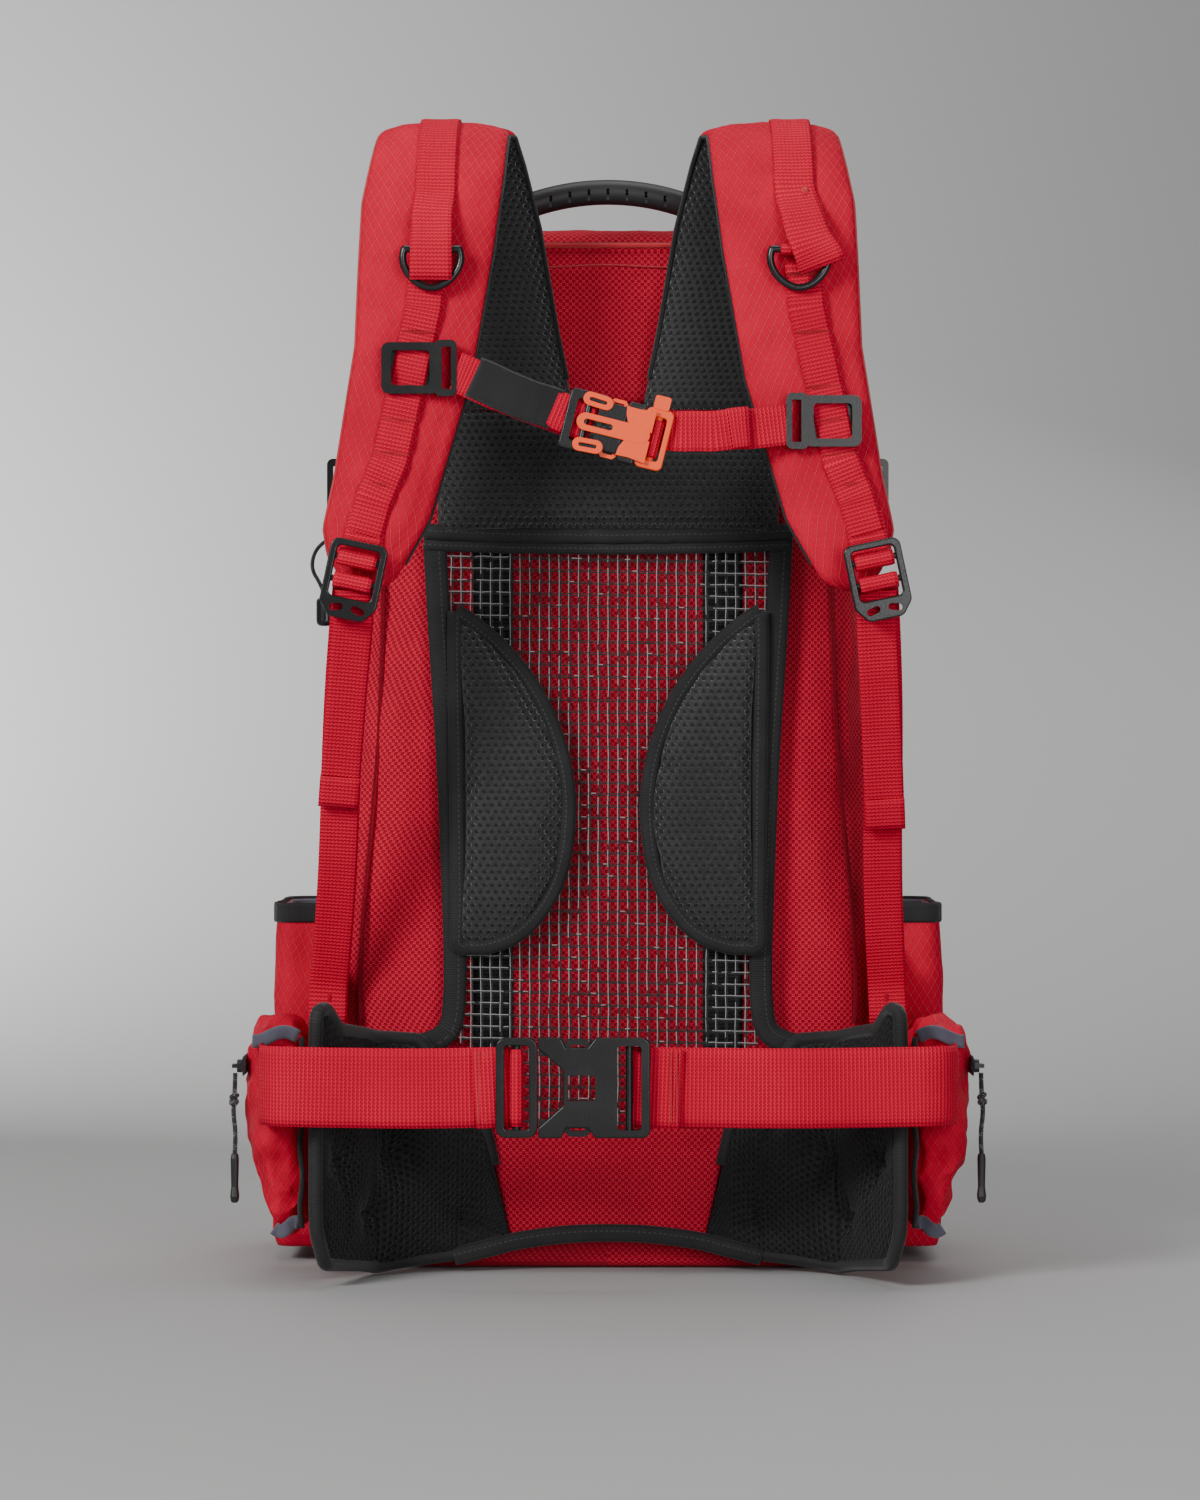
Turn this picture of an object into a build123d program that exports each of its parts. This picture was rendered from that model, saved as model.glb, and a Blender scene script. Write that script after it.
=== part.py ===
from build123d import *

import math
import os

# Ski and hiking backpack with a suspended net back, a padded harness and a hip belt.
# Millimetres, +Z up. The wearer's side faces -Y and X runs across the pack. The origin is on the ground
# under the middle of the back panel's plane. Soft pieces are plain closed solids of the true outer shape.

# ---- driving dimensions -------------------------------------------------------------------------
TOP_Z = 672.0  # top of the main bag, under its lid
WALL = 5.0  # padded fabric wall of the bag
CORNER = 38.0  # corner radius of the bag in plan
# bag outline by height: (z, half width, back y, front y)
BAG_LEVELS = [
    (0.0, 142.0, -2.0, 178.0),
    (45.0, 170.0, 0.0, 205.0),
    (200.0, 182.0, 0.0, 215.0),
    (380.0, 170.0, 0.0, 212.0),
    (560.0, 160.0, 0.0, 195.0),
    (TOP_Z, 150.0, 4.0, 170.0),
]
LID_HINGE_Y = 48.5  # the lid starts here, and a fixed strip closes the top behind it
LID_RISE = 17.0
GAP = 0.4  # daylight between pieces that move past each other

STAY_X = 75.0  # each aluminium stay's distance from the middle

WEB = 25.0  # harness webbing width
WEB_T = 1.6
BELT = 50.0  # hip belt webbing width
BELT_T = 2.0
BELT_Z = 129.0  # height of the hip belt webbing's middle

PAD_T = 15.0  # shoulder strap padding
REAR_Y = -15.8  # middle of the strap where it lies along the back
FRONT_Y = -118.0  # middle of the strap where it hangs in front
ARCH_Y = (REAR_Y + FRONT_Y) / 2
ARCH_Z = 732.0  # middle of the strap at the top of its arch
REAR_ARCH_Z = 560.0  # where the rear leg starts to lean forward
FRONT_ARCH_Z = 630.0  # where the front leg turns vertical
STRAP_END_Z = 438.0
PAD_FACE_Y = FRONT_Y - PAD_T / 2  # outer face of the front leg

DAISY_Y = PAD_FACE_Y - 3.5  # middle of the webbing sewn down the front leg
DAISY_W = 22.0
RIGHT_SHIFT = 9.0  # the right strap's webbing is sewn this much further out than the left's
LOCK_Y = -141.0  # middle of the ladder locks
LOCK_X, ANCHOR_BAR_Z = 156.0, 457.0  # the sewn end's bar, which the lock tilts about
LOCK_LEAN = 12.0  # degrees that each lock's foot leans outwards
BAR_STEP = 14.0  # from the sewn end's bar to the adjusting bar
ADJUST_X = LOCK_X + BAR_STEP * math.sin(math.radians(LOCK_LEAN))
ADJUST_Z = ANCHOR_BAR_Z - BAR_STEP * math.cos(math.radians(LOCK_LEAN))
WING_X, WING_Z = 182.0, 185.0  # where the lower webbing is sewn to the bag

FIN_Y, FIN_X = -112.0, 184.0  # front edge of the hip fins
FIN_T = 14.0
POCKET_X = 231.0  # outer face of the hip pockets
ZIP_Z = 138.0
STERNUM_Y = -139.0  # middle of the sternum buckle
BELT_BUCKLE_X, BELT_BUCKLE_Y = -22.0, -137.0
PARTS = "parts"


# ---- small tools --------------------------------------------------------------------------------
def span(low, high):
    return (low + high) / 2, high - low


def block(x, y, z):
    """A box from its low and high limits along each axis."""
    (cx, w), (cy, d), (cz, h) = span(*x), span(*y), span(*z)
    return Pos(cx, cy, cz) * Box(w, d, h)


def front_prism(outline, y0, y1):
    """A solid seen from the front as a closed outline of (x, z) points."""
    face = Face(Wire.make_polygon([(x, y0, z) for x, z in outline]))
    return Part() + Solid.extrude(face, Vector(0, y1 - y0, 0))


def web_xy(points, radius, thickness, z, width):
    """Webbing whose length follows points in plan and whose width stands along Z."""
    path = FilletPolyline(*points, radius=radius) if len(points) > 2 else Line(*points)
    return Pos(0, 0, z) * extrude(trace(path, thickness), amount=width / 2, both=True)


def web_yz(points, radius, thickness, x, width):
    """Webbing whose length follows points (y, z) in side view and whose width lies along X."""
    path = FilletPolyline(*points, radius=radius) if len(points) > 2 else Line(*points)
    sketch = Plane.YZ.offset(x) * trace(path, thickness)
    return extrude(sketch, amount=width / 2, both=True)


def loop_z(x, y, z, bar_radius, width, thickness=WEB_T):
    """Webbing sewn round a bar that stands along Z."""
    inner = bar_radius + 0.35
    ring = Cylinder(inner + thickness, width) - Cylinder(inner, width + 2)
    return Pos(x, y, z) * ring


def rounded(solid, radius, axis):
    """The same solid with its edges along one axis rounded."""
    return fillet(solid.edges().filter_by(axis), radius)


def mirrored(solid):
    return mirror(solid, about=Plane.YZ)


def save(name, shape):
    solids = [s for s in shape.solids()]
    export_step(solids[0] if len(solids) == 1 else Compound(children=solids), f"{PARTS}/{name}.step")
    print(f"{name}: {len(solids)} solid(s), {sum(s.volume for s in solids) / 1000:.1f} cm3")


def save_pair(name, right, shift=0.0):
    """Writes the two sides apart, left at -X and right at +X."""
    save(f"{name}_right", Pos(shift, 0, 0) * right)
    save(f"{name}_left", mirrored(right))


def save_both(name, right, shift=0.0):
    """Writes the two sides together, for pieces that never move apart."""
    save(name, Pos(shift, 0, 0) * right + mirrored(right))


# ---- the bag ------------------------------------------------------------------------------------
def level_face(level, grow=0.0, z=None):
    height, half, back, front = level
    width, depth = 2 * (half + grow), front - back + 2 * grow
    place = Pos(0, (back + front) / 2, height if z is None else z)
    return place * RectangleRounded(width, depth, CORNER + grow)


def bag_outer():
    return loft([level_face(level) for level in BAG_LEVELS], ruled=True)


def bag():
    outer = bag_outer()
    inner_levels = [(8.0, 145.0, 12.0, 182.0)] + BAG_LEVELS[1:]
    faces = [level_face(level, grow=-WALL) for level in inner_levels]
    faces.append(level_face(BAG_LEVELS[-1], grow=-WALL, z=TOP_Z + 5))
    shell = outer - loft(faces, ruled=True)
    strip = outer & block((-200, 200), (-5, LID_HINGE_Y - GAP), (TOP_Z - WALL, TOP_Z + 1))
    return shell + strip


def lid():
    z, half, back, front = BAG_LEVELS[-1]
    base = z + GAP
    faces = [
        level_face((base, half, back, front)),
        level_face((base + 8, half - 4, back + 4, front - 4)),
        level_face((base + LID_RISE, half - 32, back + 30, front - 30), grow=-2),
    ]
    dome = loft(faces, ruled=True)
    return dome & block((-200, 200), (LID_HINGE_Y, 250), (0, 900))


def lid_zip():
    """Zip tape round the three free sides of the top, just under the lid."""
    z, half, back, front = BAG_LEVELS[-1]
    tape = extrude(level_face((z - 13, half + 2.6, back - 2.6, front + 2.6)), amount=11)
    return (tape - bag_outer()) & block((-200, 200), (LID_HINGE_Y, 250), (0, 900))


def frame_sheet():
    return rounded(block((-118, 118), (WALL + 2, WALL + 3.6), (64, 585)), 20, Axis.Y)


def frame_stay():
    return rounded(block((STAY_X - 12.5, STAY_X + 12.5), (WALL + 4, WALL + 7), (66, 580)), 6, Axis.Y)


def stay_sleeve():
    return block((STAY_X - 13, STAY_X + 13), (-1.7, -0.2), (100, 474))


def front_pocket():
    outline = [(-108, 70), (108, 70), (112, 250), (98, 430), (-98, 430), (-112, 250)]
    body = rounded(front_prism(outline, 150, 248), 26, Axis.Y)
    return body - bag_outer()


def front_zip():
    return block((-86, 86), (248.2, 249.8), (387, 403))


# ---- back panel ---------------------------------------------------------------------------------
def net_panel():
    edge = [(78, 94), (96.7, 157), (96.7, 205), (100.6, 322), (109.8, 474)]
    return front_prism(edge + [(-x, z) for x, z in reversed(edge)], -11.2, -10.0)


def net_binding():
    """Bound edge that carries the net down one side."""
    outline = [(97.3, 157), (97.3, 205), (101, 322), (110.3, 474), (119, 474), (110, 322), (106, 205), (108, 160)]
    return front_prism(outline, -14, -0.3)


def lumbar_pad():
    """D-shaped pad beside the spine, with its straight edge at the side."""
    straight = Line((100, 435), (97, 205))
    bulge = Spline((97, 205), (50, 222), (24, 300), (45, 375), (100, 435))
    face = make_face(Curve() + [straight, bulge])
    return extrude(Plane((0, -11.6, 0), x_dir=(1, 0, 0), z_dir=(0, -1, 0)) * face, amount=15)


def yoke_pad():
    return rounded(block((-115, 115), (-26, -8), (476, 566)), 5, Axis.Y)


def lumbar_panel():
    return front_prism([(-78, 91), (78, 91), (62, 18), (-62, 18)], -22, -8)


# ---- shoulder straps ----------------------------------------------------------------------------
def strap_side_profile(outer, inner):
    """The strap seen from the side, between two offsets from its middle line."""

    def arcs(off):
        rear = EllipticalCenterArc(
            (ARCH_Y, REAR_ARCH_Z), REAR_Y - ARCH_Y + off, ARCH_Z - REAR_ARCH_Z + off, start_angle=0, arc_size=90
        )
        front = EllipticalCenterArc(
            (ARCH_Y, FRONT_ARCH_Z), ARCH_Y - FRONT_Y + off, ARCH_Z - FRONT_ARCH_Z + off, start_angle=90, arc_size=90
        )
        return rear, front

    rear_out, front_out = arcs(outer)
    rear_in, front_in = arcs(inner)
    low = 430.0
    edges = [
        rear_out,
        front_out,
        Line((FRONT_Y - outer, FRONT_ARCH_Z), (FRONT_Y - outer, low)),
        Line((FRONT_Y - outer, low), (FRONT_Y - inner, low)),
        Line((FRONT_Y - inner, low), (FRONT_Y - inner, FRONT_ARCH_Z)),
        front_in,
        rear_in,
        Line((REAR_Y + inner, REAR_ARCH_Z), (REAR_Y + outer, REAR_ARCH_Z)),
    ]
    return Plane.YZ * make_face(Curve() + edges)


def strap_band(outer, inner, x0=0.0, x1=220.0):
    return Pos(x0, 0, 0) * extrude(strap_side_profile(outer, inner), amount=x1 - x0)


def shoulder_strap():
    band = strap_band(PAD_T / 2, -PAD_T / 2)
    inner_edge = [(133, 446), (112, 483), (86, 571), (72, 652), (66, 700), (62, 760)]
    outer_edge = [(146, 760), (154, 683), (158, 592), (171, 510), (178, 478), (172, 452), (150, 438)]
    front = front_prism(inner_edge + outer_edge, FRONT_Y - 20, ARCH_Y)
    rear = front_prism([(23, 566.5), (33, 612), (44, 677), (54, 716), (62, 760), (146, 760), (125, 640), (105, 566.5)], ARCH_Y, 10)
    return (band & front) + (band & rear)


def daisy_webbing():
    """Webbing sewn down the front leg, with slack loops between its bar tacks."""
    off = FRONT_Y - DAISY_Y
    band = strap_band(off + WEB_T / 2, off - WEB_T / 2)
    half = DAISY_W / 2
    middle = [(112.5, 640), (115, 615), (136, 520), (146, 496)]
    outline = [(x - half, z) for x, z in middle] + [(x + half, z) for x, z in reversed(middle)]
    return band & front_prism(outline, FRONT_Y - 40, ARCH_Y)


def load_lifter():
    """Webbing from the top of the bag over the arch and down to the ring."""
    off = PAD_T / 2 + 1.4
    band = strap_band(off + WEB_T / 2, off - WEB_T / 2)
    leave_y = -46.0  # where it leaves the arch for the bag
    front = band & front_prism([(98, RING_Z), (94, 760), (119, 760), (123, RING_Z)], FRONT_Y - 40, leave_y)
    a, b = ARCH_Y - FRONT_Y + off, ARCH_Z - REAR_ARCH_Z + off
    leave_z = REAR_ARCH_Z + b * math.sqrt(1 - ((leave_y - ARCH_Y) / a) ** 2)
    tail = web_yz([(leave_y - 0.8, leave_z + 0.8), (0, TOP_Z + 5), (8, TOP_Z + 1.2)], 4, WEB_T, 106, WEB)
    ring = Rot(0, 90, 0) * (Cylinder(RING_WIRE + 0.35 + WEB_T, WEB) - Cylinder(RING_WIRE + 0.35, WEB + 2))
    ring = Pos(RING_X, RING_Y, RING_Z) * ring
    back = FRONT_Y - off + WEB_T / 2
    bridge = block((RING_X - WEB / 2, RING_X + WEB / 2), (RING_Y + 3, back), (RING_Z - 1, RING_Z + 4))
    return front + tail + ring + bridge


# ---- harness hardware ---------------------------------------------------------------------------
RING_X, RING_Y, RING_Z = 110.0, DAISY_Y - 5.0, 651.0
RING_W, RING_H, RING_WIRE = 34.0, 24.0, 2.3


def d_ring():
    """Moulded D: a straight bar on top and a bow below."""
    half, h = RING_W / 2, RING_H
    bow = Spline((-half, 0), (-half + 1, -h * 0.55), (0, -h), (half - 1, -h * 0.55), (half, 0))
    path = Curve() + [bow]
    start = Plane(origin=bow @ 0, z_dir=bow % 0)
    ring = sweep(start * Circle(RING_WIRE), path=path)
    bar = Rot(0, 90, 0) * Cylinder(RING_WIRE, RING_W)
    knobs = [Pos(side * half, 0, 0) * Sphere(RING_WIRE) for side in (-1, 1)]
    body = Plane((0, 0, 0), x_dir=(1, 0, 0), z_dir=(0, -1, 0)) * ring
    return Pos(RING_X, RING_Y, RING_Z) * (body + bar + knobs[0] + knobs[1])


def lock_place(shape):
    """Carries a lock piece, drawn about the sewn end's bar, to the right strap's end."""
    return Pos(LOCK_X, LOCK_Y, ANCHOR_BAR_Z) * (Rot(0, -LOCK_LEAN, 0) * shape)


def ladder_lock():
    """Frame with two webbing bars and a curved lip to tilt it by."""
    w, h, t = 36.0, 49.0, 5.4
    top = 11.5
    low = top - h
    corners = [(-w / 2, top), (w / 2, top), (w / 2, low + 9), (w / 2 - 7, low), (-w / 2 + 7, low), (-w / 2, low + 9)]
    plate = front_prism(corners, -t / 2, t / 2)
    plate = rounded(plate, 5.5, Axis.Y)
    window = rounded(block((-w / 2 + 4.4, w / 2 - 4.4), (-t, t), (low + 13, top - 4.2)), 3, Axis.Y)
    frame = plate - window
    frame = fillet(frame.faces().filter_by(Axis.Y).edges(), 1.0)
    for side in (-1, 1):
        hole = Rot(90, 0, 0) * extrude(SlotOverall(9, 4.4), amount=t, both=True)
        frame -= Pos(side * 7, 0, low + 6.4) * (Rot(0, side * 14, 0) * hole)
    for z in (0.0, -BAR_STEP):
        frame += Pos(0, 0, z) * (Rot(0, 90, 0) * Cylinder(2.0, w - 6))
    return frame


def bar_loop(z):
    """Webbing wrapped round one of the ladder lock's bars."""
    ring = Cylinder(2.35 + WEB_T, WEB) - Cylinder(2.35, WEB + 2)
    return Pos(0, 0, z) * (Rot(0, 90, 0) * ring)


def anchor_loop():
    """Sewn end of the strap, which holds the ladder lock by its upper bar."""
    back = 2.35 + WEB_T / 2
    face = PAD_FACE_Y - LOCK_Y - 1.2
    leg = web_yz([(back, 0.5), (face - 2, 5), (face, 26)], 4, WEB_T, 0, WEB)
    return bar_loop(0) + leg


def lower_lean():
    return math.degrees(math.atan2(WING_X - ADJUST_X, ADJUST_Z - WING_Z))


def lower_webbing():
    """Webbing from the foot of the bag up to the back of the ladder lock."""
    top = (LOCK_Y + 5.1, ADJUST_Z)
    run = web_yz([top, (-12.0, WING_Z)], 0, WEB_T, 0, WEB)
    return Pos(ADJUST_X, 0, ADJUST_Z) * (Rot(0, -lower_lean(), 0) * (Pos(0, 0, -ADJUST_Z) * run))


def webbing_wing():
    """Folded tab on the bag's side that anchors the lower webbing."""
    face = Face(Wire.make_polygon([(WING_X, y, z) for y, z in [(-10.6, 172), (-10.6, 196), (31, 222), (31, 170)]]))
    return Part() + Solid.extrude(face, Vector(2.4, 0, 0))


# ---- side release buckles, in their own frame: x along the strap, male part at -x ------------------
def release_buckle(length, half, web, thick):
    """Male frame, upper prong, lower prong and female body of a side release buckle."""
    wide = web / 2 + 1.2
    seam = -length * 0.225  # where the female body starts
    left, right = -length / 2, length / 2
    wall = thick * 0.24
    mid = thick - 2 * wall - 0.6  # thickness of the moving part between the body's two skins
    bar_r = 2.3
    base = seam - 0.5
    rim = length * 0.055
    window_l = (left + rim, base - rim)
    window_r = (right - 20.5, right - 5.5)

    ring = rounded(block((left, base), (-mid * 0.75, mid * 0.75), (-half, half)), half * 0.2, Axis.Y)
    ring -= rounded(block(window_l, (-thick, thick), (-wide, wide)), 2, Axis.Y)
    left_bar = (window_l[0] + window_l[1]) / 2
    ring = fillet(ring.faces().filter_by(Axis.Y).edges(), 0.9)
    male = ring + Pos(left_bar, 0, 0) * Cylinder(bar_r, 2 * wide + 2)

    shoulder, notch = half * 0.8, half * 0.36
    outline = [
        (seam, half),
        (seam + length * 0.15, half),
        (seam + length * 0.18, shoulder),
        (seam + length * 0.32, shoulder),
        (seam + length * 0.37, half),
        (right, half),
        (right, -half),
        (seam + length * 0.37, -half),
        (seam + length * 0.32, -shoulder),
        (seam + length * 0.18, -shoulder),
        (seam + length * 0.15, -half),
        (seam, -half),
        (seam, -half * 0.8),
        (seam + length * 0.16, -notch),
        (seam + length * 0.16, notch),
        (seam, half * 0.8),
    ]
    body = front_prism(outline, -thick / 2, thick / 2)
    body = fillet(body.edges().filter_by(Axis.Y).group_by(Axis.X)[-1], half * 0.16)
    body = fillet(body.faces().filter_by(Axis.Y).edges(), 1.0)
    body -= rounded(block(window_r, (-thick, thick), (-wide, wide)), 2, Axis.Y)
    body -= rounded(block((seam + length * 0.19, seam + length * 0.37), (-thick, thick), (-notch * 0.72, notch * 0.72)), 1.5, Axis.Y)
    slot_y = (-thick / 2 + wall, thick / 2 - wall)
    slot_x = (seam - 2, seam + length * 0.42)
    for side in (1, -1):
        slot_z = sorted((side * half * 0.42, side * (half + 2)))
        body -= block(slot_x, slot_y, slot_z)
    right_bar = (window_r[0] + window_r[1]) / 2
    female = body + Pos(right_bar, 0, 0) * Cylinder(bar_r, 2 * wide + 2)

    tip = seam + length * 0.39
    arm = [
        (seam + 0.2, half * 0.86),
        (seam + length * 0.16, half * 0.84),
        (seam + length * 0.2, half * 0.98),
        (seam + length * 0.31, half * 0.98),
        (tip, half * 0.7),
        (tip, half * 0.6),
        (seam + length * 0.16, half * 0.62),
        (seam + 0.2, half * 0.64),
    ]
    eye = [(seam + length * 0.21, half * 0.86), (seam + length * 0.3, half * 0.86), (seam + length * 0.3, half * 0.76), (seam + length * 0.21, half * 0.76)]
    upper = front_prism(arm, -mid / 2, mid / 2) - front_prism(eye, -thick, thick)
    lower = mirror(upper, about=Plane.XY)
    return {
        "male": male,
        "upper": upper,
        "lower": lower,
        "female": female,
        "left_bar": left_bar,
        "right_bar": right_bar,
        "base": base,
        "bar_r": bar_r,
    }


BELT_BUCKLE = {"length": 96.0, "half": 31.0, "web": BELT, "thick": 11.0}
STERNUM_BUCKLE = {"length": 66.0, "half": 19.0, "web": WEB, "thick": 9.0}
STERNUM_X, STERNUM_Z = 5.0, 538.0
STERNUM_FEMALE_BAR = STERNUM_BUCKLE["length"] / 2 - 13.0
STERNUM_TILT = 14.0  # the buckle hangs this many degrees down towards the right


def belt_place(shape):
    return Pos(BELT_BUCKLE_X, BELT_BUCKLE_Y, BELT_Z) * shape


def sternum_place(shape):
    """The sternum buckle has its male part on the right, and leans down to the right."""
    return Pos(STERNUM_X, STERNUM_Y, STERNUM_Z) * (Rot(0, STERNUM_TILT, 0) * (Rot(0, 0, 180) * shape))


def whistle():
    """Whistle chamber moulded on the top edge of the sternum buckle's male part."""
    x0 = -STERNUM_BUCKLE["length"] * 0.225 - 9
    chamber = rounded(block((x0 - 5, x0 + 5), (-4, 4), (STERNUM_BUCKLE["half"] - 0.6, STERNUM_BUCKLE["half"] + 8)), 1.5, Axis.Y)
    return chamber - block((x0 - 3, x0 + 3), (-2, 2), (STERNUM_BUCKLE["half"] + 3, STERNUM_BUCKLE["half"] + 20))


# ---- sternum strap ------------------------------------------------------------------------------
DAISY_SLOPE = 21.0 / 95.0  # how the strap's webbing runs outwards as it comes down
SLIDER_LEFT = (-123.4, 577.0)
SLIDER_RIGHT = (139.8, 544.0)
SLIDER_W, SLIDER_H = 36.0, 32.0
SLIDER_SLOT = DAISY_W + 6.4
HOOP = 29.0  # from the slider's middle to the outside of its hoop
RUN_Y = STERNUM_Y + 5.7  # middle of the webbing, just behind the buckle


def sternum_slider(side):
    """Frame that clasps the strap's webbing, with a hoop towards the middle for the sternum strap."""
    x, z = SLIDER_LEFT if side < 0 else SLIDER_RIGHT
    lean = -side * math.degrees(math.atan(DAISY_SLOPE))
    front, back = DAISY_Y - 5.2, PAD_FACE_Y - 0.5
    frame = rounded(block((-SLIDER_W / 2, SLIDER_W / 2), (front, back), (-SLIDER_H / 2, SLIDER_H / 2)), 5, Axis.Y)
    half = SLIDER_SLOT / 2
    frame -= Rot(0, lean, 0) * block((-half, half), (DAISY_Y - 1.4, DAISY_Y + 1.4), (-SLIDER_H, SLIDER_H))
    frame -= rounded(block((-12, 12), (front - 5, DAISY_Y), (-11, 11)), 2.5, Axis.Y)
    hoop_x = -side * (HOOP - 7)
    hoop = rounded(block((hoop_x - 7, hoop_x + 7), (front, front + 4.6), (-17.5, 17.5)), 4, Axis.Y)
    slot_x = sorted((-side * (HOOP - 9.4), -side * (HOOP - 3.6)))
    hoop -= block(slot_x, (front - 5, back), (-13.2, 13.2))
    frame = (frame + hoop) - Rot(0, lean, 0) * block((-half, half), (DAISY_Y - 1.4, DAISY_Y + 1.4), (-SLIDER_H, SLIDER_H))
    return Pos(x, 0, z) * frame


def sloped_web(x0, z0, x1, z1, y, width):
    """Flat webbing between two points, upright across its width."""
    length, lean = math.hypot(x1 - x0, z1 - z0), math.degrees(math.atan2(z1 - z0, x1 - x0))
    flat = block((0, length), (y - WEB_T / 2, y + WEB_T / 2), (-width / 2, width / 2))
    return Pos(x0, 0, z0) * (Rot(0, -lean, 0) * flat)


def bar_point(local_x):
    """Where a point on the sternum buckle's own x line comes to, as (x, z)."""
    lean = math.radians(STERNUM_TILT)
    return STERNUM_X - local_x * math.cos(lean), STERNUM_Z + local_x * math.sin(lean)


def left_run():
    x0, z0 = SLIDER_LEFT
    return (x0 + HOOP + 5.2, z0 - 3.0), bar_point(STERNUM_FEMALE_BAR)


def sternum_web_left():
    """From the left slider to the buckle's female part, sewn round its bar."""
    bar = STERNUM_FEMALE_BAR
    loop = loop_z(bar, 0, 0, 2.3, WEB) + block((bar - 4, bar + 4), (-6.4, -3.2), (-WEB / 2, WEB / 2))
    (x0, z0), (x1, z1) = left_run()
    return sternum_place(loop) + sloped_web(x0, z0, x1, z1, RUN_Y, WEB)


def sternum_web_right():
    """From the right slider to behind the buckle's male part."""
    x0, z0 = SLIDER_RIGHT
    return sloped_web(30, 538.5, x0 - HOOP - 1.6, z0 - 2, RUN_Y, WEB)


def sternum_web_loop(buckle):
    return sternum_place(loop_z(buckle["left_bar"], 0, 0, buckle["bar_r"], WEB - 1))


def label():
    """Blank woven label sewn round the left half of the sternum strap."""
    (x0, z0), (x1, z1) = left_run()
    at = [(x0 + (x1 - x0) * t, z0 + (z1 - z0) * t) for t in (0.1, 0.72)]
    return sloped_web(*at[0], *at[1], RUN_Y - WEB_T / 2 - 0.9, WEB + 1)


# ---- hip belt -----------------------------------------------------------------------------------
def fin_line():
    return FilletPolyline((82, -15), (150, -24), (FIN_X, FIN_Y), radius=50)


def hip_fin():
    band = extrude(trace(fin_line(), FIN_T), amount=220)
    outline = [(64, 20), (100, 8), (150, 0), (180, 12), (193, 50), (193, 192), (184, 190), (172, 162), (150, 154), (122, 157), (122, 150), (80, 92)]
    return band & front_prism(outline, -200, 50)


def hip_pocket():
    """Zipped pocket on the outside of the hip fin."""
    body = block((192, POCKET_X), (-92, 22), (24, 168))
    body = rounded(body, 16, Axis.X)
    return chamfer(body.faces().sort_by(Axis.X)[-1].edges(), 9)


def hip_zip():
    """Zip tape along the pocket's outer face."""
    return block((POCKET_X + 0.1, POCKET_X + 1.6), (-82, 14), (ZIP_Z - 7, ZIP_Z + 7))


BELT_RUN_Y = BELT_BUCKLE_Y + 7.0


def belt_path(end):
    """From the pocket's front, round the corner and in towards the buckle."""
    return [(219, -92.6), (219, -112), (204, BELT_RUN_Y), (end, BELT_RUN_Y)]


def belt_loop(bar, bar_r):
    return loop_z(bar, 0, 0, bar_r, BELT, BELT_T)


def belt_web_right(buckle):
    bar = buckle["right_bar"]
    run = web_xy(belt_path(BELT_BUCKLE_X + bar), 9, BELT_T, BELT_Z, BELT)
    sewn = belt_loop(bar, buckle["bar_r"]) + block((bar - 4, bar + 4), (3.4, 8), (-BELT / 2, BELT / 2))
    return run + belt_place(sewn)


def belt_web_left(buckle):
    end = -(BELT_BUCKLE_X + buckle["left_bar"])
    return mirrored(web_xy(belt_path(end), 9, BELT_T, BELT_Z, BELT))


# ---- zip sliders, pulls and cords ---------------------------------------------------------------
PULL_CORD_D = 3.0
GRIP = 31.0
PIVOT_OUT = 4.35  # how far a pull's pivot stands off the tape
PULL_OUT = 4.85  # how far outside the tape the cord pulls turn, clear of the slider's body
# a pull's cord from under its slider down to the grip, in the pivot's frame
CORD_ROUTE = [(0.0, 0.0, -4.6), (0.2, 0.9, -16.0), (1.5, -0.5, -29.5), (-0.5, 0.6, -43.5), (0.3, 0.2, -56.0)]


def corner_radii(points):
    """The largest arc that each corner's two runs allow."""
    radii = []
    for a, b, c in zip(points, points[1:], points[2:]):
        before, after = Vector(*b) - Vector(*a), Vector(*c) - Vector(*b)
        turn = math.radians(before.get_angle(after))
        radii.append(0.45 * min(before.length, after.length) / math.tan(turn / 2))
    return radii


def cord_tube(points, diameter):
    radii = corner_radii(points)
    path = FilletPolyline(*points, radius=radii)
    start = Plane(origin=path @ 0, z_dir=path % 0)
    tube = sweep(start * Circle(diameter / 2), path=path)
    full = math.pi * diameter**2 / 4 * path.length
    print(f"  cord {path.length:.1f} mm, radii {[round(r) for r in radii]}, volume {tube.volume:.0f} of {full:.0f}")
    return tube


def zip_slider():
    """Slider body with its bridge, on a tape that faces +X and runs along Y. Origin on the tape."""
    body = rounded(block((0.3, 3.3), (-5.5, 5.5), (-4, 4)), 2.5, Axis.X)
    posts = block((3.3, 6.6), (-3.6, -1.8), (-1.2, 1.2)) + block((3.3, 6.6), (1.8, 3.6), (-1.2, 1.2))
    bridge = block((5.4, 6.6), (-3.6, 3.6), (-1.2, 1.2))
    return body + posts + bridge


def pull_tab(lean):
    """Metal tab that hangs through the slider's bridge, leaning outwards. Origin at its pivot."""
    blade = rounded(block((-0.45, 0.45), (-2.8, 2.8), (-22, -1.8)), 1.5, Axis.X)
    blade -= block((-3, 3), (-1.3, 1.3), (-20, -17))
    return Rot(0, -lean, 0) * (blade + block((-0.45, 0.45), (-1.4, 1.4), (-2, 2.2)))


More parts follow.
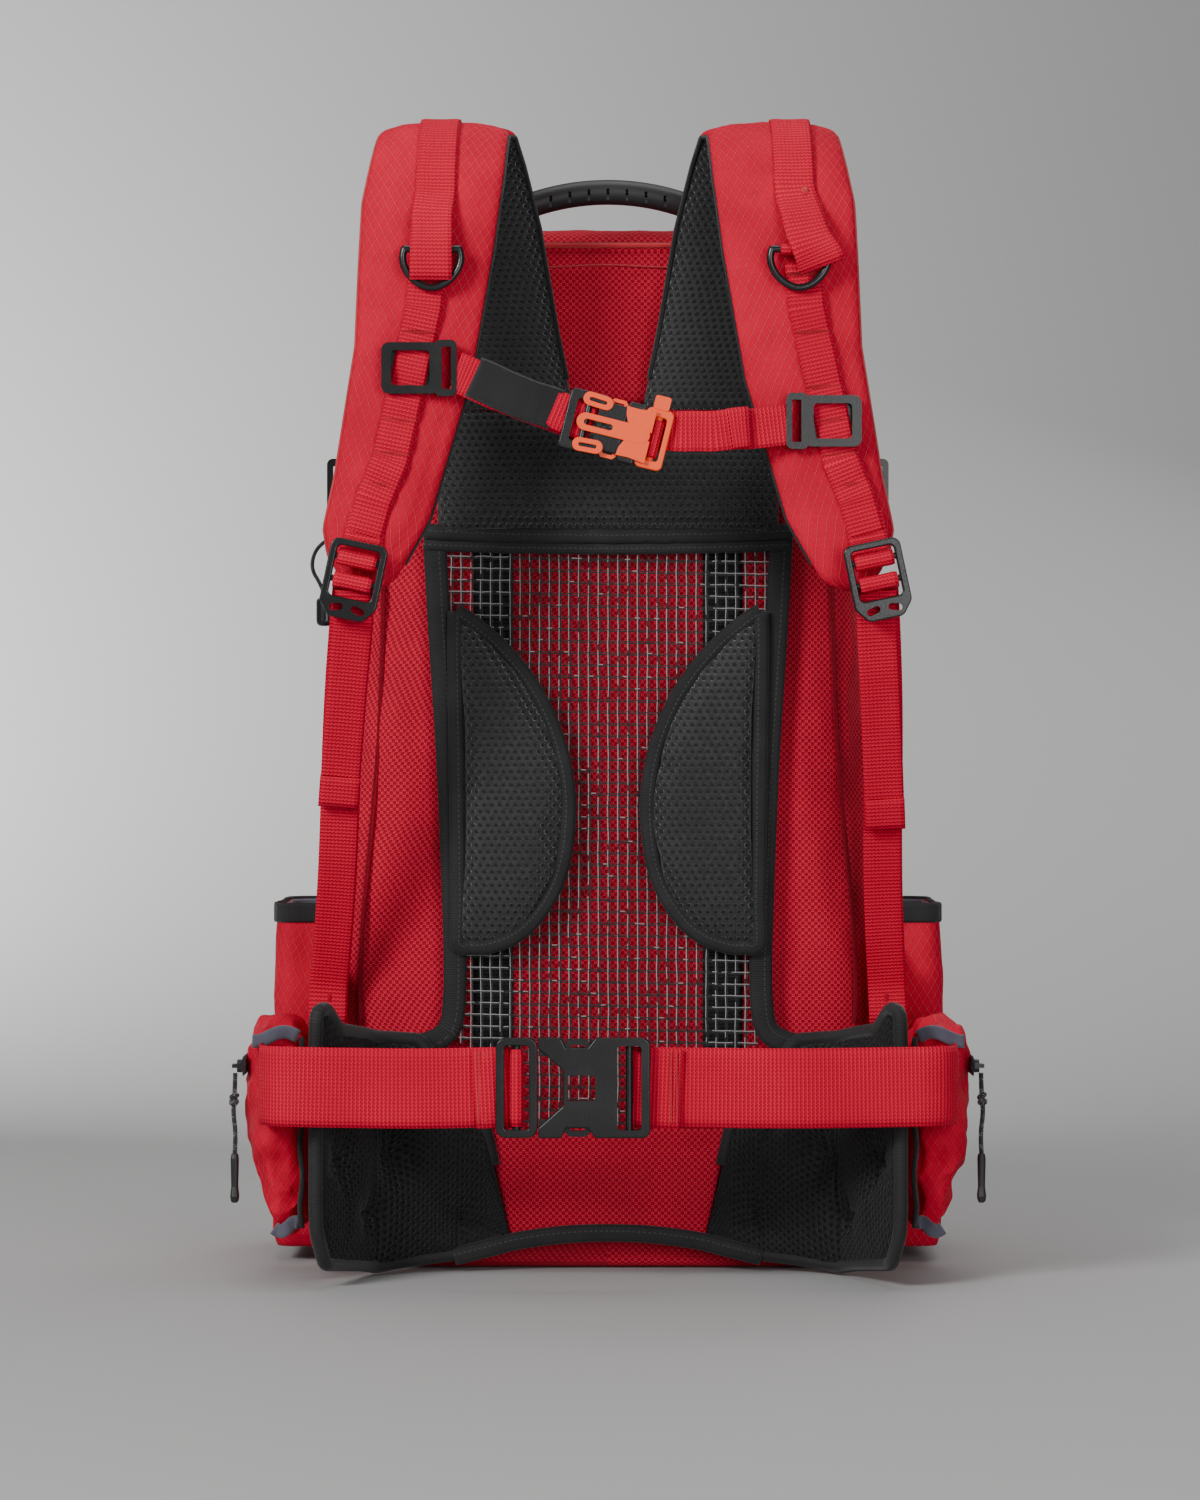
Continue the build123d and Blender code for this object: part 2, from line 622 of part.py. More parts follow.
def pull_grip():
    """Moulded grip on the cord's lower end, swelling into a bulb."""
    x, y, top = CORD_ROUTE[-1]
    sizes = [(0, 4.2, 4.6), (3, 5.2, 6.4), (21, 4.4, 5.6), (27, 5.6, 8.4), (30, 4.8, 7.0), (GRIP, 3.2, 5.0)]
    faces = [Pos(x, y, top - down) * RectangleRounded(w, d, w * 0.4) for down, w, d in sizes]
    return loft(faces, ruled=True)


def zip_place(place, out=PIVOT_OUT):
    return place * Pos(out, 0, 0)


def hip_pull(side):
    """The zip slider at the front end of a hip pocket, and the cord and grip that hang from it."""
    place = Pos(side * (POCKET_X + 1.6), -76, ZIP_Z) * Rot(0, 0, 0 if side > 0 else 180)
    name = "right" if side > 0 else "left"
    save(f"hip_slider_{name}", place * zip_slider())
    save(f"hip_cord_{name}", zip_place(place, PULL_OUT) * cord_tube(CORD_ROUTE, PULL_CORD_D))
    save(f"hip_grip_{name}", zip_place(place, PULL_OUT) * pull_grip())


def tab_slider(name, place, lean=0.0):
    save(name, place * zip_slider() + zip_place(place) * pull_tab(lean))


# ---- haul handle --------------------------------------------------------------------------------
HANDLE_Y = 12.0
HANDLE_Z = TOP_Z + 10.0  # where its webbing bends
GRIP_HALF, GRIP_RISE, GRIP_Z = 52.0, 9.0, 697.0


def handle_arc():
    plane = Plane((0, HANDLE_Y, 0), x_dir=(1, 0, 0), z_dir=(0, -1, 0))
    return plane * ThreePointArc((-GRIP_HALF, GRIP_Z), (0, GRIP_Z + GRIP_RISE), (GRIP_HALF, GRIP_Z))


def swept_on_arc(section):
    arc = handle_arc()
    start = Plane(origin=arc @ 0, x_dir=(0, 1, 0), z_dir=arc % 0)
    return sweep(start * section, path=arc)


def haul_grip():
    """Moulded sleeve, with finger slots along its lower half."""
    tube = swept_on_arc(Ellipse(7.6, 8.2)) - swept_on_arc(Rectangle(13.0, 4.0))
    for k in range(-3, 4):
        x = k * 12.5
        rise = GRIP_RISE * (1 - (x / GRIP_HALF) ** 2)
        for y0, y1 in ((-20, -5.6), (5.6, 20)):
            tube -= block((x - 0.9, x + 0.9), (HANDLE_Y + y0, HANDLE_Y + y1), (GRIP_Z + rise - 9, GRIP_Z + rise + 1.5))
    return tube


def haul_webbing():
    """Webbing through the grip and down to the bag at each end."""
    core = swept_on_arc(Rectangle(12.0, 3.0))
    leg = front_prism(
        [(51.5, 695.4), (51.5, 698.6), (60, 697), (61, HANDLE_Z), (57, HANDLE_Z), (56, 693)], HANDLE_Y - 6, HANDLE_Y + 6
    )
    foot = Pos(59, HANDLE_Y, HANDLE_Z) * (Rot(0, 90, 0) * Cylinder(6, 4))
    return core + leg + foot + mirrored(leg + foot)


def handle_anchor():
    """Bar-tacked patch that the handle's webbing is sewn into."""
    return rounded(block((49, 69), (HANDLE_Y - 8, HANDLE_Y + 8), (TOP_Z + 0.1, TOP_Z + 3.4)), 3, Axis.Z)


# ---- side pockets and compression ---------------------------------------------------------------
def side_pocket():
    """Open-topped bottle pocket on the bag's side."""
    outer = rounded(block((150, 224), (32, 172), (9, 235)), 18, Axis.Z)
    hollow = rounded(block((186, 219), (37, 167), (14, 240)), 12, Axis.Z)
    return outer - hollow - bag_outer()


def compression_strap():
    """Side strap that draws the bag in, from its back edge towards the front."""
    return block((164.4, 166.0), (36, 158), (503, 523))


def compression_buckle():
    """Ladder lock on the side strap, standing out from the bag."""
    frame = rounded(block((166.4, 187), (44, 49), (495, 533)), 4, Axis.Y)
    return frame - block((171, 183), (40, 60), (500, 510)) - block((171, 183), (40, 60), (515, 528))


BUNGEE_D = 2.6
TOGGLE_X, TOGGLE_Y, TOGGLE_TOP = -187.0, 25.5, 440.0
BUNGEE_ROUTE = [
    (-158.0, 30.0, 470.0),
    (-169.0, 28.5, 478.0),
    (-183.0, 27.0, 480.0),
    (-193.5, 25.5, 472.0),
    (-196.5, 25.0, 459.0),
    (-189.5, 25.5, 448.0),
    (TOGGLE_X, TOGGLE_Y, TOGGLE_TOP),
]


def bungee():
    """Elastic cord at the bag's side that holds a tool's shaft."""
    return cord_tube(BUNGEE_ROUTE, BUNGEE_D) - bag_outer()


def bungee_toggle():
    toggle = Pos(TOGGLE_X, TOGGLE_Y, TOGGLE_TOP - 9.5) * Cylinder(6.0, 19)
    return fillet(toggle.edges(), 3.5)


def gear_loops():
    """Two webbing loops at the foot of the front, for tool heads and ski tails."""
    loops = []
    for side in (-1, 1):
        loop = web_yz([(212.5, 66), (232, 50), (232, 24), (205.5, 14)], 6, WEB_T, side * 70, 20)
        loops.append(loop - bag_outer())
    return loops[0] + loops[1]


# ---- build --------------------------------------------------------------------------------------
def build_bag():
    save("main_bag", bag())
    save("top_lid", lid())
    save("zip_tapes", lid_zip() + front_zip() + hip_zip() + mirrored(hip_zip()))
    save("frame_sheet", frame_sheet())
    save_both("frame_stays", frame_stay())
    save_both("stay_sleeves", stay_sleeve())
    save("front_pocket", front_pocket())
    save("gear_loops", gear_loops())
    save_both("side_pockets", side_pocket())
    save_both("compression_straps", compression_strap())
    save_both("compression_buckles", compression_buckle())
    save("bungee", bungee())
    save("bungee_toggle", bungee_toggle())


def build_back():
    save("net_panel", net_panel())
    save_both("net_bindings", net_binding())
    save_both("lumbar_pads", lumbar_pad())
    save("yoke_pad", yoke_pad())
    save("lumbar_panel", lumbar_panel())


def build_harness():
    save_pair("shoulder_strap", shoulder_strap())
    save_both("daisy_webbings", daisy_webbing(), RIGHT_SHIFT)
    save_both("load_lifters", load_lifter(), RIGHT_SHIFT)
    save_pair("d_ring", d_ring(), RIGHT_SHIFT)
    save_pair("ladder_lock", lock_place(ladder_lock()), RIGHT_SHIFT)
    save_pair("lock_loop", lock_place(bar_loop(-BAR_STEP)), RIGHT_SHIFT)
    save_both("anchor_loops", lock_place(anchor_loop()), RIGHT_SHIFT)
    save_both("lower_webbings", lower_webbing())
    save_both("webbing_wings", webbing_wing())


def build_sternum():
    buckle = release_buckle(**STERNUM_BUCKLE)
    save("sternum_sliders", sternum_slider(-1) + sternum_slider(1))
    save("sternum_web_left", sternum_web_left())
    save("sternum_web_right", sternum_web_right())
    save("sternum_label", label())
    save("sternum_female", sternum_place(buckle["female"]))
    save("sternum_male", sternum_place(buckle["male"] + whistle()))
    save("sternum_prong_upper", sternum_place(buckle["upper"]))
    save("sternum_prong_lower", sternum_place(buckle["lower"]))
    save("sternum_web_loop", sternum_web_loop(buckle))


def build_belt():
    buckle = release_buckle(**BELT_BUCKLE)
    save_both("hip_fins", hip_fin())
    save_both("hip_pockets", hip_pocket())
    save("belt_web_left", belt_web_left(buckle))
    save("belt_web_right", belt_web_right(buckle))
    save("belt_female", belt_place(buckle["female"]))
    save("belt_male", belt_place(buckle["male"]))
    save("belt_prong_upper", belt_place(buckle["upper"]))
    save("belt_prong_lower", belt_place(buckle["lower"]))
    save("belt_web_loop", belt_place(belt_loop(buckle["left_bar"], buckle["bar_r"])))


def build_handle_and_zips():
    save("haul_grip", haul_grip())
    save("haul_webbing", haul_webbing())
    save_both("handle_anchors", handle_anchor())
    for side in (-1, 1):
        hip_pull(side)
    tab_slider("front_slider", Pos(-78, 249.8, 395) * Rot(0, 0, 90))
    tab_slider("lid_slider", Pos(-95, 172.6, 664.5) * Rot(0, 0, 90), lean=18)


def main():
    os.makedirs(PARTS, exist_ok=True)
    build_bag()
    build_back()
    build_harness()
    build_sternum()
    build_belt()
    build_handle_and_zips()


main()
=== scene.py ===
"""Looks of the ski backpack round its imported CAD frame. Metres, +Z up, the harness faces -Y."""

import math
import random

import bmesh
import bpy
from mathutils import Matrix, Vector, noise
from mathutils.bvhtree import BVHTree


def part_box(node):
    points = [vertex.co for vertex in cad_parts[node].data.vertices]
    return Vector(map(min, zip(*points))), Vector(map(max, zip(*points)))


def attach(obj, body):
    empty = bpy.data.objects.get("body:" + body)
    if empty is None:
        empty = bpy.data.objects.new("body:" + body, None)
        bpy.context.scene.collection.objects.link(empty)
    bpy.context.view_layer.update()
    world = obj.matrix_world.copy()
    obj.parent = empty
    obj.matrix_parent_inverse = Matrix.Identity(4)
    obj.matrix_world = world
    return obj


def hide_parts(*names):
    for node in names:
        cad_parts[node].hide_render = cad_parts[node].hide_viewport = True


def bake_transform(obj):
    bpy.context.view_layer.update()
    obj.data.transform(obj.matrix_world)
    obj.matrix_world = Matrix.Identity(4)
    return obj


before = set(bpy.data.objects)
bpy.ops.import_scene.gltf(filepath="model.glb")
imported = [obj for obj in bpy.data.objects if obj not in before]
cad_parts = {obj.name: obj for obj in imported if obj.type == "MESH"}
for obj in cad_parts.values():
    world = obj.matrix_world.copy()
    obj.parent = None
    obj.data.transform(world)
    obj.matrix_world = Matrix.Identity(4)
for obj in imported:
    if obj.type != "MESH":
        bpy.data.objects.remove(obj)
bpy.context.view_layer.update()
MM = 0.001
SIDES = ((1, "right"), (-1, "left"))
NAMES = dict(SIDES)


# ---- camera and studio --------------------------------------------------------------------------
def add_camera():
    data = bpy.data.cameras.new("camera")
    data.lens = 98.9
    data.sensor_fit = "VERTICAL"
    data.sensor_height = 36.0
    data.sensor_width = 28.8
    camera = bpy.data.objects.new("camera", data)
    camera.location = (-0.0052, -2.7, 0.339)
    camera.rotation_euler = (math.radians(90), 0, 0)
    bpy.context.scene.collection.objects.link(camera)
    bpy.context.scene.camera = camera


def aim(obj, target):
    obj.rotation_euler = (Vector(target) - obj.location).to_track_quat("-Z", "Y").to_euler()


def add_area(name, place, target, size, power, color=(1, 1, 1), size_y=None):
    data = bpy.data.lights.new(name, "AREA")
    data.energy = power
    data.color = color
    data.size = size
    if size_y:
        data.shape = "RECTANGLE"
        data.size_y = size_y
    light = bpy.data.objects.new(name, data)
    light.location = place
    bpy.context.scene.collection.objects.link(light)
    aim(light, target)


def add_studio():
    """Five lamps, and a paper backdrop that bends up behind the pack."""
    world = bpy.data.worlds.new("studio")
    bpy.context.scene.world = world
    world.use_nodes = True
    back = world.node_tree.nodes["Background"]
    back.inputs["Color"].default_value = (0.62, 0.63, 0.65, 1)
    back.inputs["Strength"].default_value = 0.30
    add_area("key", (-1.6, -2.1, 1.5), (0, 0, 0.35), 0.8, 70)
    add_area("fill", (1.0, -3.0, 0.7), (0, 0, 0.3), 1.3, 40)
    add_area("top", (0.1, 0.0, 2.4), (0, 0, 0.3), 1.2, 20)
    add_area("wall_glow", (-1.9, 1.5, 0.9), (-1.2, 3.6, 0.5), 1.0, 135)
    add_area("back_rim", (1.2, 2.2, 1.6), (0, 0, 0.4), 1.2, 14)

    bm = bmesh.new()
    bend, start = 2.8, 1.0
    profile = [(-8.0, 0.0), (start, 0.0)]
    for k in range(1, 33):
        a = math.radians(90 * k / 32)
        profile.append((start + bend * math.sin(a), bend - bend * math.cos(a)))
    profile.append((start + bend, 9.0))
    rows = [[bm.verts.new((x, y, z - 0.0006)) for y, z in profile] for x in (-9, 9)]
    for k in range(len(profile) - 1):
        bm.faces.new((rows[0][k], rows[1][k], rows[1][k + 1], rows[0][k + 1]))
    mesh = bpy.data.meshes.new("backdrop")
    bm.to_mesh(mesh)
    for p in mesh.polygons:
        p.use_smooth = True
    obj = bpy.data.objects.new("backdrop", mesh)
    bpy.context.scene.collection.objects.link(obj)
    mat = bpy.data.materials.new("backdrop_paper")
    mat.use_nodes = True
    bsdf = mat.node_tree.nodes["Principled BSDF"]
    bsdf.inputs["Base Color"].default_value = (0.37, 0.37, 0.366, 1)
    bsdf.inputs["Roughness"].default_value = 0.75
    mesh.materials.append(mat)


add_camera()
add_studio()


# ---- material tools -----------------------------------------------------------------------------
class Nodes:
    """Short forms for building a material's node tree."""

    def __init__(self, name):
        self.mat = bpy.data.materials.new(name)
        self.mat.use_nodes = True
        self.tree = self.mat.node_tree
        self.bsdf = self.tree.nodes["Principled BSDF"]

    def link(self, source, socket):
        if isinstance(source, (int, float, tuple)):
            socket.default_value = source
        else:
            self.tree.links.new(source, socket)

    def math(self, op, a, b=0.0, c=0.0):
        node = self.tree.nodes.new("ShaderNodeMath")
        node.operation = op
        for value, socket in zip((a, b, c), node.inputs):
            self.link(value, socket)
        return node.outputs[0]

    def add(self, a, b):
        return self.math("ADD", a, b)

    def sub(self, a, b):
        return self.math("SUBTRACT", a, b)

    def mul(self, a, b):
        return self.math("MULTIPLY", a, b)

    def abs(self, a):
        return self.math("ABSOLUTE", a)

    def sine(self, a, pitch, phase=0.0):
        """Sine of a length, one wave per pitch."""
        return self.math("SINE", self.math("MULTIPLY_ADD", a, 2 * math.pi / pitch, phase))

    def step(self, value, low, high):
        """Smooth rise from 0 at low to 1 at high."""
        node = self.tree.nodes.new("ShaderNodeMapRange")
        node.interpolation_type = "SMOOTHSTEP"
        self.link(value, node.inputs[0])
        node.inputs[1].default_value = low
        node.inputs[2].default_value = high
        return node.outputs[0]

    def coords(self, kind):
        """(u, v) lengths in metres over the surface."""
        node = self.tree.nodes.new("ShaderNodeTexCoord")
        source = node.outputs["UV" if kind == "uv" else "Object"]
        split = self.tree.nodes.new("ShaderNodeSeparateXYZ")
        self.link(source, split.inputs[0])
        x, y, z = split.outputs
        if kind == "uv":
            return x, y
        if kind == "xz":
            return x, z
        if kind == "wrap":
            flat = self.tree.nodes.new("ShaderNodeSeparateXYZ")
            self.link(node.outputs["Normal"], flat.inputs[0])
            nx, ny, _ = (self.abs(out) for out in flat.outputs)
            sideways = self.math("GREATER_THAN", nx, ny)
            return self.add(self.mul(y, sideways), self.mul(x, self.sub(1.0, sideways))), z
        return x, y

    def noise(self, scale, detail):
        coord = self.tree.nodes.new("ShaderNodeTexCoord")
        node = self.tree.nodes.new("ShaderNodeTexNoise")
        self.link(coord.outputs["Object"], node.inputs["Vector"])
        node.inputs["Scale"].default_value = scale
        node.inputs["Detail"].default_value = detail
        node.inputs["Roughness"].default_value = 0.5
        return node.outputs["Fac"]

    @staticmethod
    def rgba(value):
        return (*value, 1) if isinstance(value, tuple) else value

    def mix(self, factor, a, b):
        """From colour a at factor 0 to colour b at factor 1."""
        node = self.tree.nodes.new("ShaderNodeMix")
        node.data_type = "RGBA"
        self.link(factor, node.inputs[0])
        for value, socket in ((a, node.inputs[6]), (b, node.inputs[7])):
            self.link(self.rgba(value), socket)
        return node.outputs[2]

    def bump(self, height, distance, strength=1.0):
        node = self.tree.nodes.new("ShaderNodeBump")
        node.inputs["Strength"].default_value = strength
        node.inputs["Distance"].default_value = distance
        self.link(height, node.inputs["Height"])
        self.link(node.outputs[0], self.bsdf.inputs["Normal"])

    def finish(self, color, roughness, sheen=0.0, specular=0.4):
        self.link(color, self.bsdf.inputs["Base Color"])
        self.link(roughness, self.bsdf.inputs["Roughness"])
        self.bsdf.inputs["Specular IOR Level"].default_value = specular
        if sheen:
            self.bsdf.inputs["Sheen Weight"].default_value = sheen
            self.bsdf.inputs["Sheen Roughness"].default_value = 0.45
            self.bsdf.inputs["Sheen Tint"].default_value = (1, 1, 1, 1)
        return self.mat


def tone(color, scale, lift=0.0):
    """A colour made darker or lighter."""
    return tuple(min(1, c * scale + lift) for c in color)


def ripstop(name, base, line, kind="uv", pitch=0.0056, slant=0.62):
    """Thin nylon with raised threads crossing in small diamonds."""
    n = Nodes(name)
    u, v = n.coords(kind)
    lines = []
    for side in (1, -1):
        run = n.add(u, n.mul(v, side * slant))
        saw = n.math("FRACT", n.mul(run, 1 / pitch))
        lines.append(n.step(n.abs(n.sub(saw, 0.5)), 0.435, 0.485))
    threads = n.math("MAXIMUM", *lines)
    weave = n.mul(n.sine(u, 0.0009), n.sine(v, 0.0009))
    shade = n.noise(38, 4)
    wide = n.noise(9, 2)
    dark = tone(base, 0.72)
    body = n.mix(n.step(n.add(n.mul(shade, 0.5), n.mul(wide, 0.5)), 0.3, 0.72), dark, base)
    color = n.mix(n.mul(threads, n.add(n.mul(wide, 0.8), 0.3)), body, line)
    n.bump(n.add(n.add(n.mul(threads, 0.6), n.mul(weave, 0.06)), n.mul(shade, 0.8)), 0.0010, 1.0)
    return n.finish(color, n.sub(0.72, n.mul(threads, 0.15)), specular=0.10)


def ballistic(name, base, kind="xz", pitch=0.0043):
    """Coarse plain-woven nylon whose yarns show as a fine chequer, coloured with painted shade
    where the yarns dip under and a painted highlight on the yarn tops.
    """
    n = Nodes(name)
    u, v = n.coords(kind)
    weave = n.mul(n.sine(u, pitch), n.sine(v, pitch))
    yarn_u, yarn_v = n.abs(n.sine(u, pitch, 1.57)), n.abs(n.sine(v, pitch, 1.57))
    over = n.step(weave, -0.25, 0.25)
    gap = n.mul(n.step(yarn_u, 0.0, 0.5), n.step(yarn_v, 0.0, 0.5))
    wear = n.noise(24, 4)
    dark = tone(base, 0.42)
    mid = tone(base, 0.84)
    body = n.mix(n.step(wear, 0.34, 0.68), mid, base)
    high = n.step(n.mul(over, gap), 0.35, 0.9)
    # painted shade on the yarns that dip under, then a lighter red as a painted highlight on the
    # yarn tops
    color = n.mix(n.mul(n.sub(1.0, over), 0.62), body, dark)
    color = n.mix(n.mul(high, 0.42), color, (0.82, 0.075, 0.105))
    n.bump(n.add(n.add(n.mul(over, 0.6), n.mul(gap, 0.2)), n.mul(wear, 0.9)), 0.0011, 1.0)
    return n.finish(color, 0.74, specular=0.12)


def webbing(name, base, pitch=0.0025):
    """Flat woven tape: fine ribs across it, yarn columns along it, and painted shade in the grooves
    between the ribs. UV runs across, then along.
    """
    n = Nodes(name)
    u, v = n.coords("uv")
    columns = n.sine(u, 0.0024)
    shift = n.mul(n.step(columns, -0.3, 0.3), pitch * 0.18)
    rib = n.sine(n.add(v, shift), pitch)
    edge_noise = n.noise(60, 3)
    wear = n.noise(16, 3)
    high = n.step(rib, -0.6, 0.7)
    dark = tone(base, 0.5)
    light = tone(base, 1.12, 0.004)
    body = n.mix(n.step(wear, 0.3, 0.7), base, light)
    # painted shade in the grooves between the ribs
    color = n.mix(n.mul(n.sub(1.0, high), 0.7), body, dark)
    n.bump(n.add(n.add(n.mul(high, 0.8), n.mul(columns, 0.15)), n.mul(edge_noise, 0.4)),
           0.0008, 1.0)
    return n.finish(color, 0.68, specular=0.12)


def air_mesh(name, kind="xz", pitch=0.0050, shade=1.0):
    """Black spacer mesh with rows of small hexagonal holes. A shade below 1 gives a darker copy of
    it, which is painted shade.
    """
    n = Nodes(name)
    u, v = n.coords(kind)
    k = 2 * math.pi / (pitch * 0.866)
    waves = []
    for angle in (90, 210, 330):
        a = math.radians(angle)
        run = n.add(n.mul(u, math.cos(a) * k), n.mul(v, math.sin(a) * k))
        waves.append(n.math("COSINE", run))
    total = n.add(n.add(waves[0], waves[1]), waves[2])
    hole = n.step(total, -0.1, 1.3)
    fibre = n.noise(420, 3)
    wide = n.noise(14, 2)
    # shade below 1 darkens the threads and lowers sheen and specular, as painted shade
    low, high = tone((0.0095, 0.0095, 0.0105), shade), tone((0.026, 0.026, 0.028), shade)
    thread = n.mix(n.step(n.add(n.mul(fibre, 0.6), n.mul(wide, 0.4)), 0.3, 0.7), low, high)
    color = n.mix(hole, thread, (0.0022, 0.0022, 0.0026))
    n.bump(n.add(n.mul(n.sub(1.0, hole), 0.8), n.mul(fibre, 0.15)), 0.0016, 1.0)
    return n.finish(color, 0.72, sheen=0.25 * shade**2, specular=0.32 * shade)


def plain_cloth(name, base, kind="uv", pitch=0.0011, fuzz=0.3, rough=0.7, wrinkle=0.4):
    n = Nodes(name)
    u, v = n.coords(kind)
    weave = n.mul(n.sine(u, pitch), n.sine(v, pitch))
    wear = n.noise(30, 4)
    dark = tone(base, 0.6)
    body = n.mix(n.step(wear, 0.3, 0.7), tone(base, 0.86), tone(base, 1.1))
    color = n.mix(n.mul(n.step(weave, 0.0, 0.8), 0.35), body, dark)
    n.bump(n.add(n.mul(weave, 0.3), n.mul(wear, wrinkle)), 0.0006, 0.8)
    return n.finish(color, rough, sheen=fuzz, specular=0.35)


def tape_black(name="binding_tape"):
    """Grosgrain binding with a row of stitches down its middle. UV runs across, then along."""
    n = Nodes(name)
    u, v = n.coords("uv")
    rib = n.sine(v, 0.0011)
    wear = n.noise(40, 3)
    near = n.sub(1.0, n.step(n.abs(n.sub(u, 0.0055)), 0.0003, 0.0007))
    dash = n.step(n.sine(v, 0.0034), -0.5, -0.1)
    stitch = n.mul(near, dash)
    body = n.mix(n.step(wear, 0.3, 0.7), (0.0065, 0.0065, 0.007), (0.0125, 0.0125, 0.0135))
    color = n.mix(n.mul(n.step(rib, -0.2, 0.8), 0.5), body, (0.025, 0.025, 0.027))
    color = n.mix(n.mul(stitch, 0.6), color, (0.060, 0.060, 0.063))
    n.bump(n.add(n.add(n.mul(rib, 0.25), n.mul(stitch, 0.9)), n.mul(wear, 0.2)), 0.0005, 0.9)
    return n.finish(color, 0.66, sheen=0.12, specular=0.28)


def plastic(name, base, rough=0.42, grain=900.0, scuff=0.5):
    """Moulded plastic: fine spark-eroded grain, a little wear, and softer gloss in patches."""
    n = Nodes(name)
    fine = n.noise(grain, 3)
    wear = n.noise(30, 4)
    light = tone(base, 1.35, 0.006)
    color = n.mix(n.mul(n.step(wear, 0.45, 0.75), scuff), base, light)
    n.bump(n.add(n.mul(fine, 0.5), n.mul(wear, 0.2)), 0.00018, 0.7)
    return n.finish(color, n.add(n.mul(wear, 0.18), rough - 0.09), specular=0.38)


def metal(name, base, rough=0.35):
    n = Nodes(name)
    fine = n.noise(500, 3)
    wear = n.noise(60, 4)
    color = n.mix(n.step(wear, 0.4, 0.7), base, tone(base, 1.4, 0.01))
    n.bump(fine, 0.0001, 0.5)
    n.bsdf.inputs["Metallic"].default_value = 0.85
    return n.finish(color, n.add(n.mul(wear, 0.2), rough - 0.1), specular=0.5)


def braid(name, base, fleck, pitch=0.0022):
    """Braided cord: strands that cross round it, with painted shade in the grooves between them. UV
    runs round, then along.
    """
    n = Nodes(name)
    u, v = n.coords("uv")
    a = n.math("SINE", n.add(n.mul(u, 2 * math.pi * 4), n.mul(v, 2 * math.pi / pitch)))
    b = n.math("SINE", n.sub(n.mul(u, 2 * math.pi * 4), n.mul(v, 2 * math.pi / pitch)))
    cross = n.mul(a, b)
    spots = n.mul(n.step(cross, 0.45, 0.7), n.step(n.noise(900, 1), 0.5, 0.56))
    # painted shade in the grooves between the strands; the light spots are fleck yarns
    color = n.mix(spots, n.mix(n.step(cross, -0.4, 0.6), tone(base, 0.5), base), fleck)
    n.bump(cross, 0.0003, 0.9)
    return n.finish(color, 0.7, sheen=0.2, specular=0.3)


RED = (0.60, 0.0045, 0.033)
RED_WEB = (0.66, 0.0045, 0.035)
M = {
    "strap_red": ripstop("ripstop_red", (0.62, 0.004, 0.033), (0.86, 0.08, 0.115)),
    "ripstop_wrap": ripstop("ripstop_red_pocket", (0.62, 0.004, 0.033), (0.80, 0.05, 0.08),
                            kind="wrap"),
    "ballistic": ballistic("ballistic_red", RED),
    "ballistic_uv": ballistic("ballistic_red_panel", RED, kind="uv"),
    "ballistic_xy": ballistic("ballistic_red_lid", RED, kind="xy"),
    "webbing": webbing("webbing_red", RED_WEB),
    "mesh": air_mesh("air_mesh"),
    "mesh_uv": air_mesh("air_mesh_wrap", kind="uv"),
    # the hip fins' mesh is the same mesh darkened to 0.6: painted shade
    "mesh_fin_painted_shade": air_mesh("air_mesh_fin", kind="uv", shade=0.6),
    "binding": tape_black(),
    "binding_round": plain_cloth("piping_black", (0.012, 0.012, 0.013), fuzz=0.15),
    "black_web": webbing("webbing_black", (0.02, 0.02, 0.023)),
    "lining": plain_cloth("lining_grey", (0.075, 0.075, 0.105)),
    "black_cloth": plain_cloth("cloth_black", (0.018, 0.018, 0.02)),
    "label": plain_cloth("label_black", (0.012, 0.012, 0.013), pitch=0.0008, fuzz=0.15),
    "plastic": plastic("plastic_charcoal", (0.0095, 0.0095, 0.0102), rough=0.27, scuff=0.3),
    "orange": plastic("plastic_orange", (0.95, 0.085, 0.010), rough=0.46, scuff=0.04),
    "rubber": plastic("grip_rubber", (0.014, 0.014, 0.015), rough=0.46, grain=700, scuff=0.35),
    "metal": metal("zip_metal", (0.03, 0.03, 0.033)),
    "alloy": metal("stay_alloy", (0.62, 0.62, 0.64)),
    "sheet": plastic("frame_plastic", (0.03, 0.03, 0.03), rough=0.5),
    "net_light": plain_cloth("net_thread_light", (0.42, 0.40, 0.40), pitch=0.0007, fuzz=0.2),
    "net_dark": plain_cloth("net_thread_dark", (0.015, 0.015, 0.017), pitch=0.0007, fuzz=0.2),
    "cord": braid("cord_braid", (0.02, 0.02, 0.022), (0.6, 0.6, 0.6)),
    "cord_black": braid("cord_black", (0.02, 0.02, 0.022), (0.05, 0.05, 0.05)),
    "thread": plain_cloth("thread_red", (0.66, 0.02, 0.035), pitch=0.0006, fuzz=0.2),
}


# ---- mesh tools ---------------------------------------------------------------------------------
def add_mesh(name, verts, faces, uvs, mats, indices=None, smooth=True):
    mesh = bpy.data.meshes.new(name)
    mesh.from_pydata([tuple(v) for v in verts], [], faces)
    layer = mesh.uv_layers.new(name="UVMap")
    for poly in mesh.polygons:
        for li, uv in zip(poly.loop_indices, uvs[poly.index]):
            layer.data[li].uv = uv
    for mat in mats:
        mesh.materials.append(mat)
    for poly in mesh.polygons:
        poly.use_smooth = smooth
        if indices is not None:
            poly.material_index = indices[poly.index]
    mesh.validate()
    mesh.update()
    obj = bpy.data.objects.new(name, mesh)
    bpy.context.scene.collection.objects.link(obj)
    return obj


def lengths(points, closed=False):
    total = [0.0]
    for a, b in zip(points, points[1:] + ([points[0]] if closed else [])):
        total.append(total[-1] + (Vector(b) - Vector(a)).length)
    return total


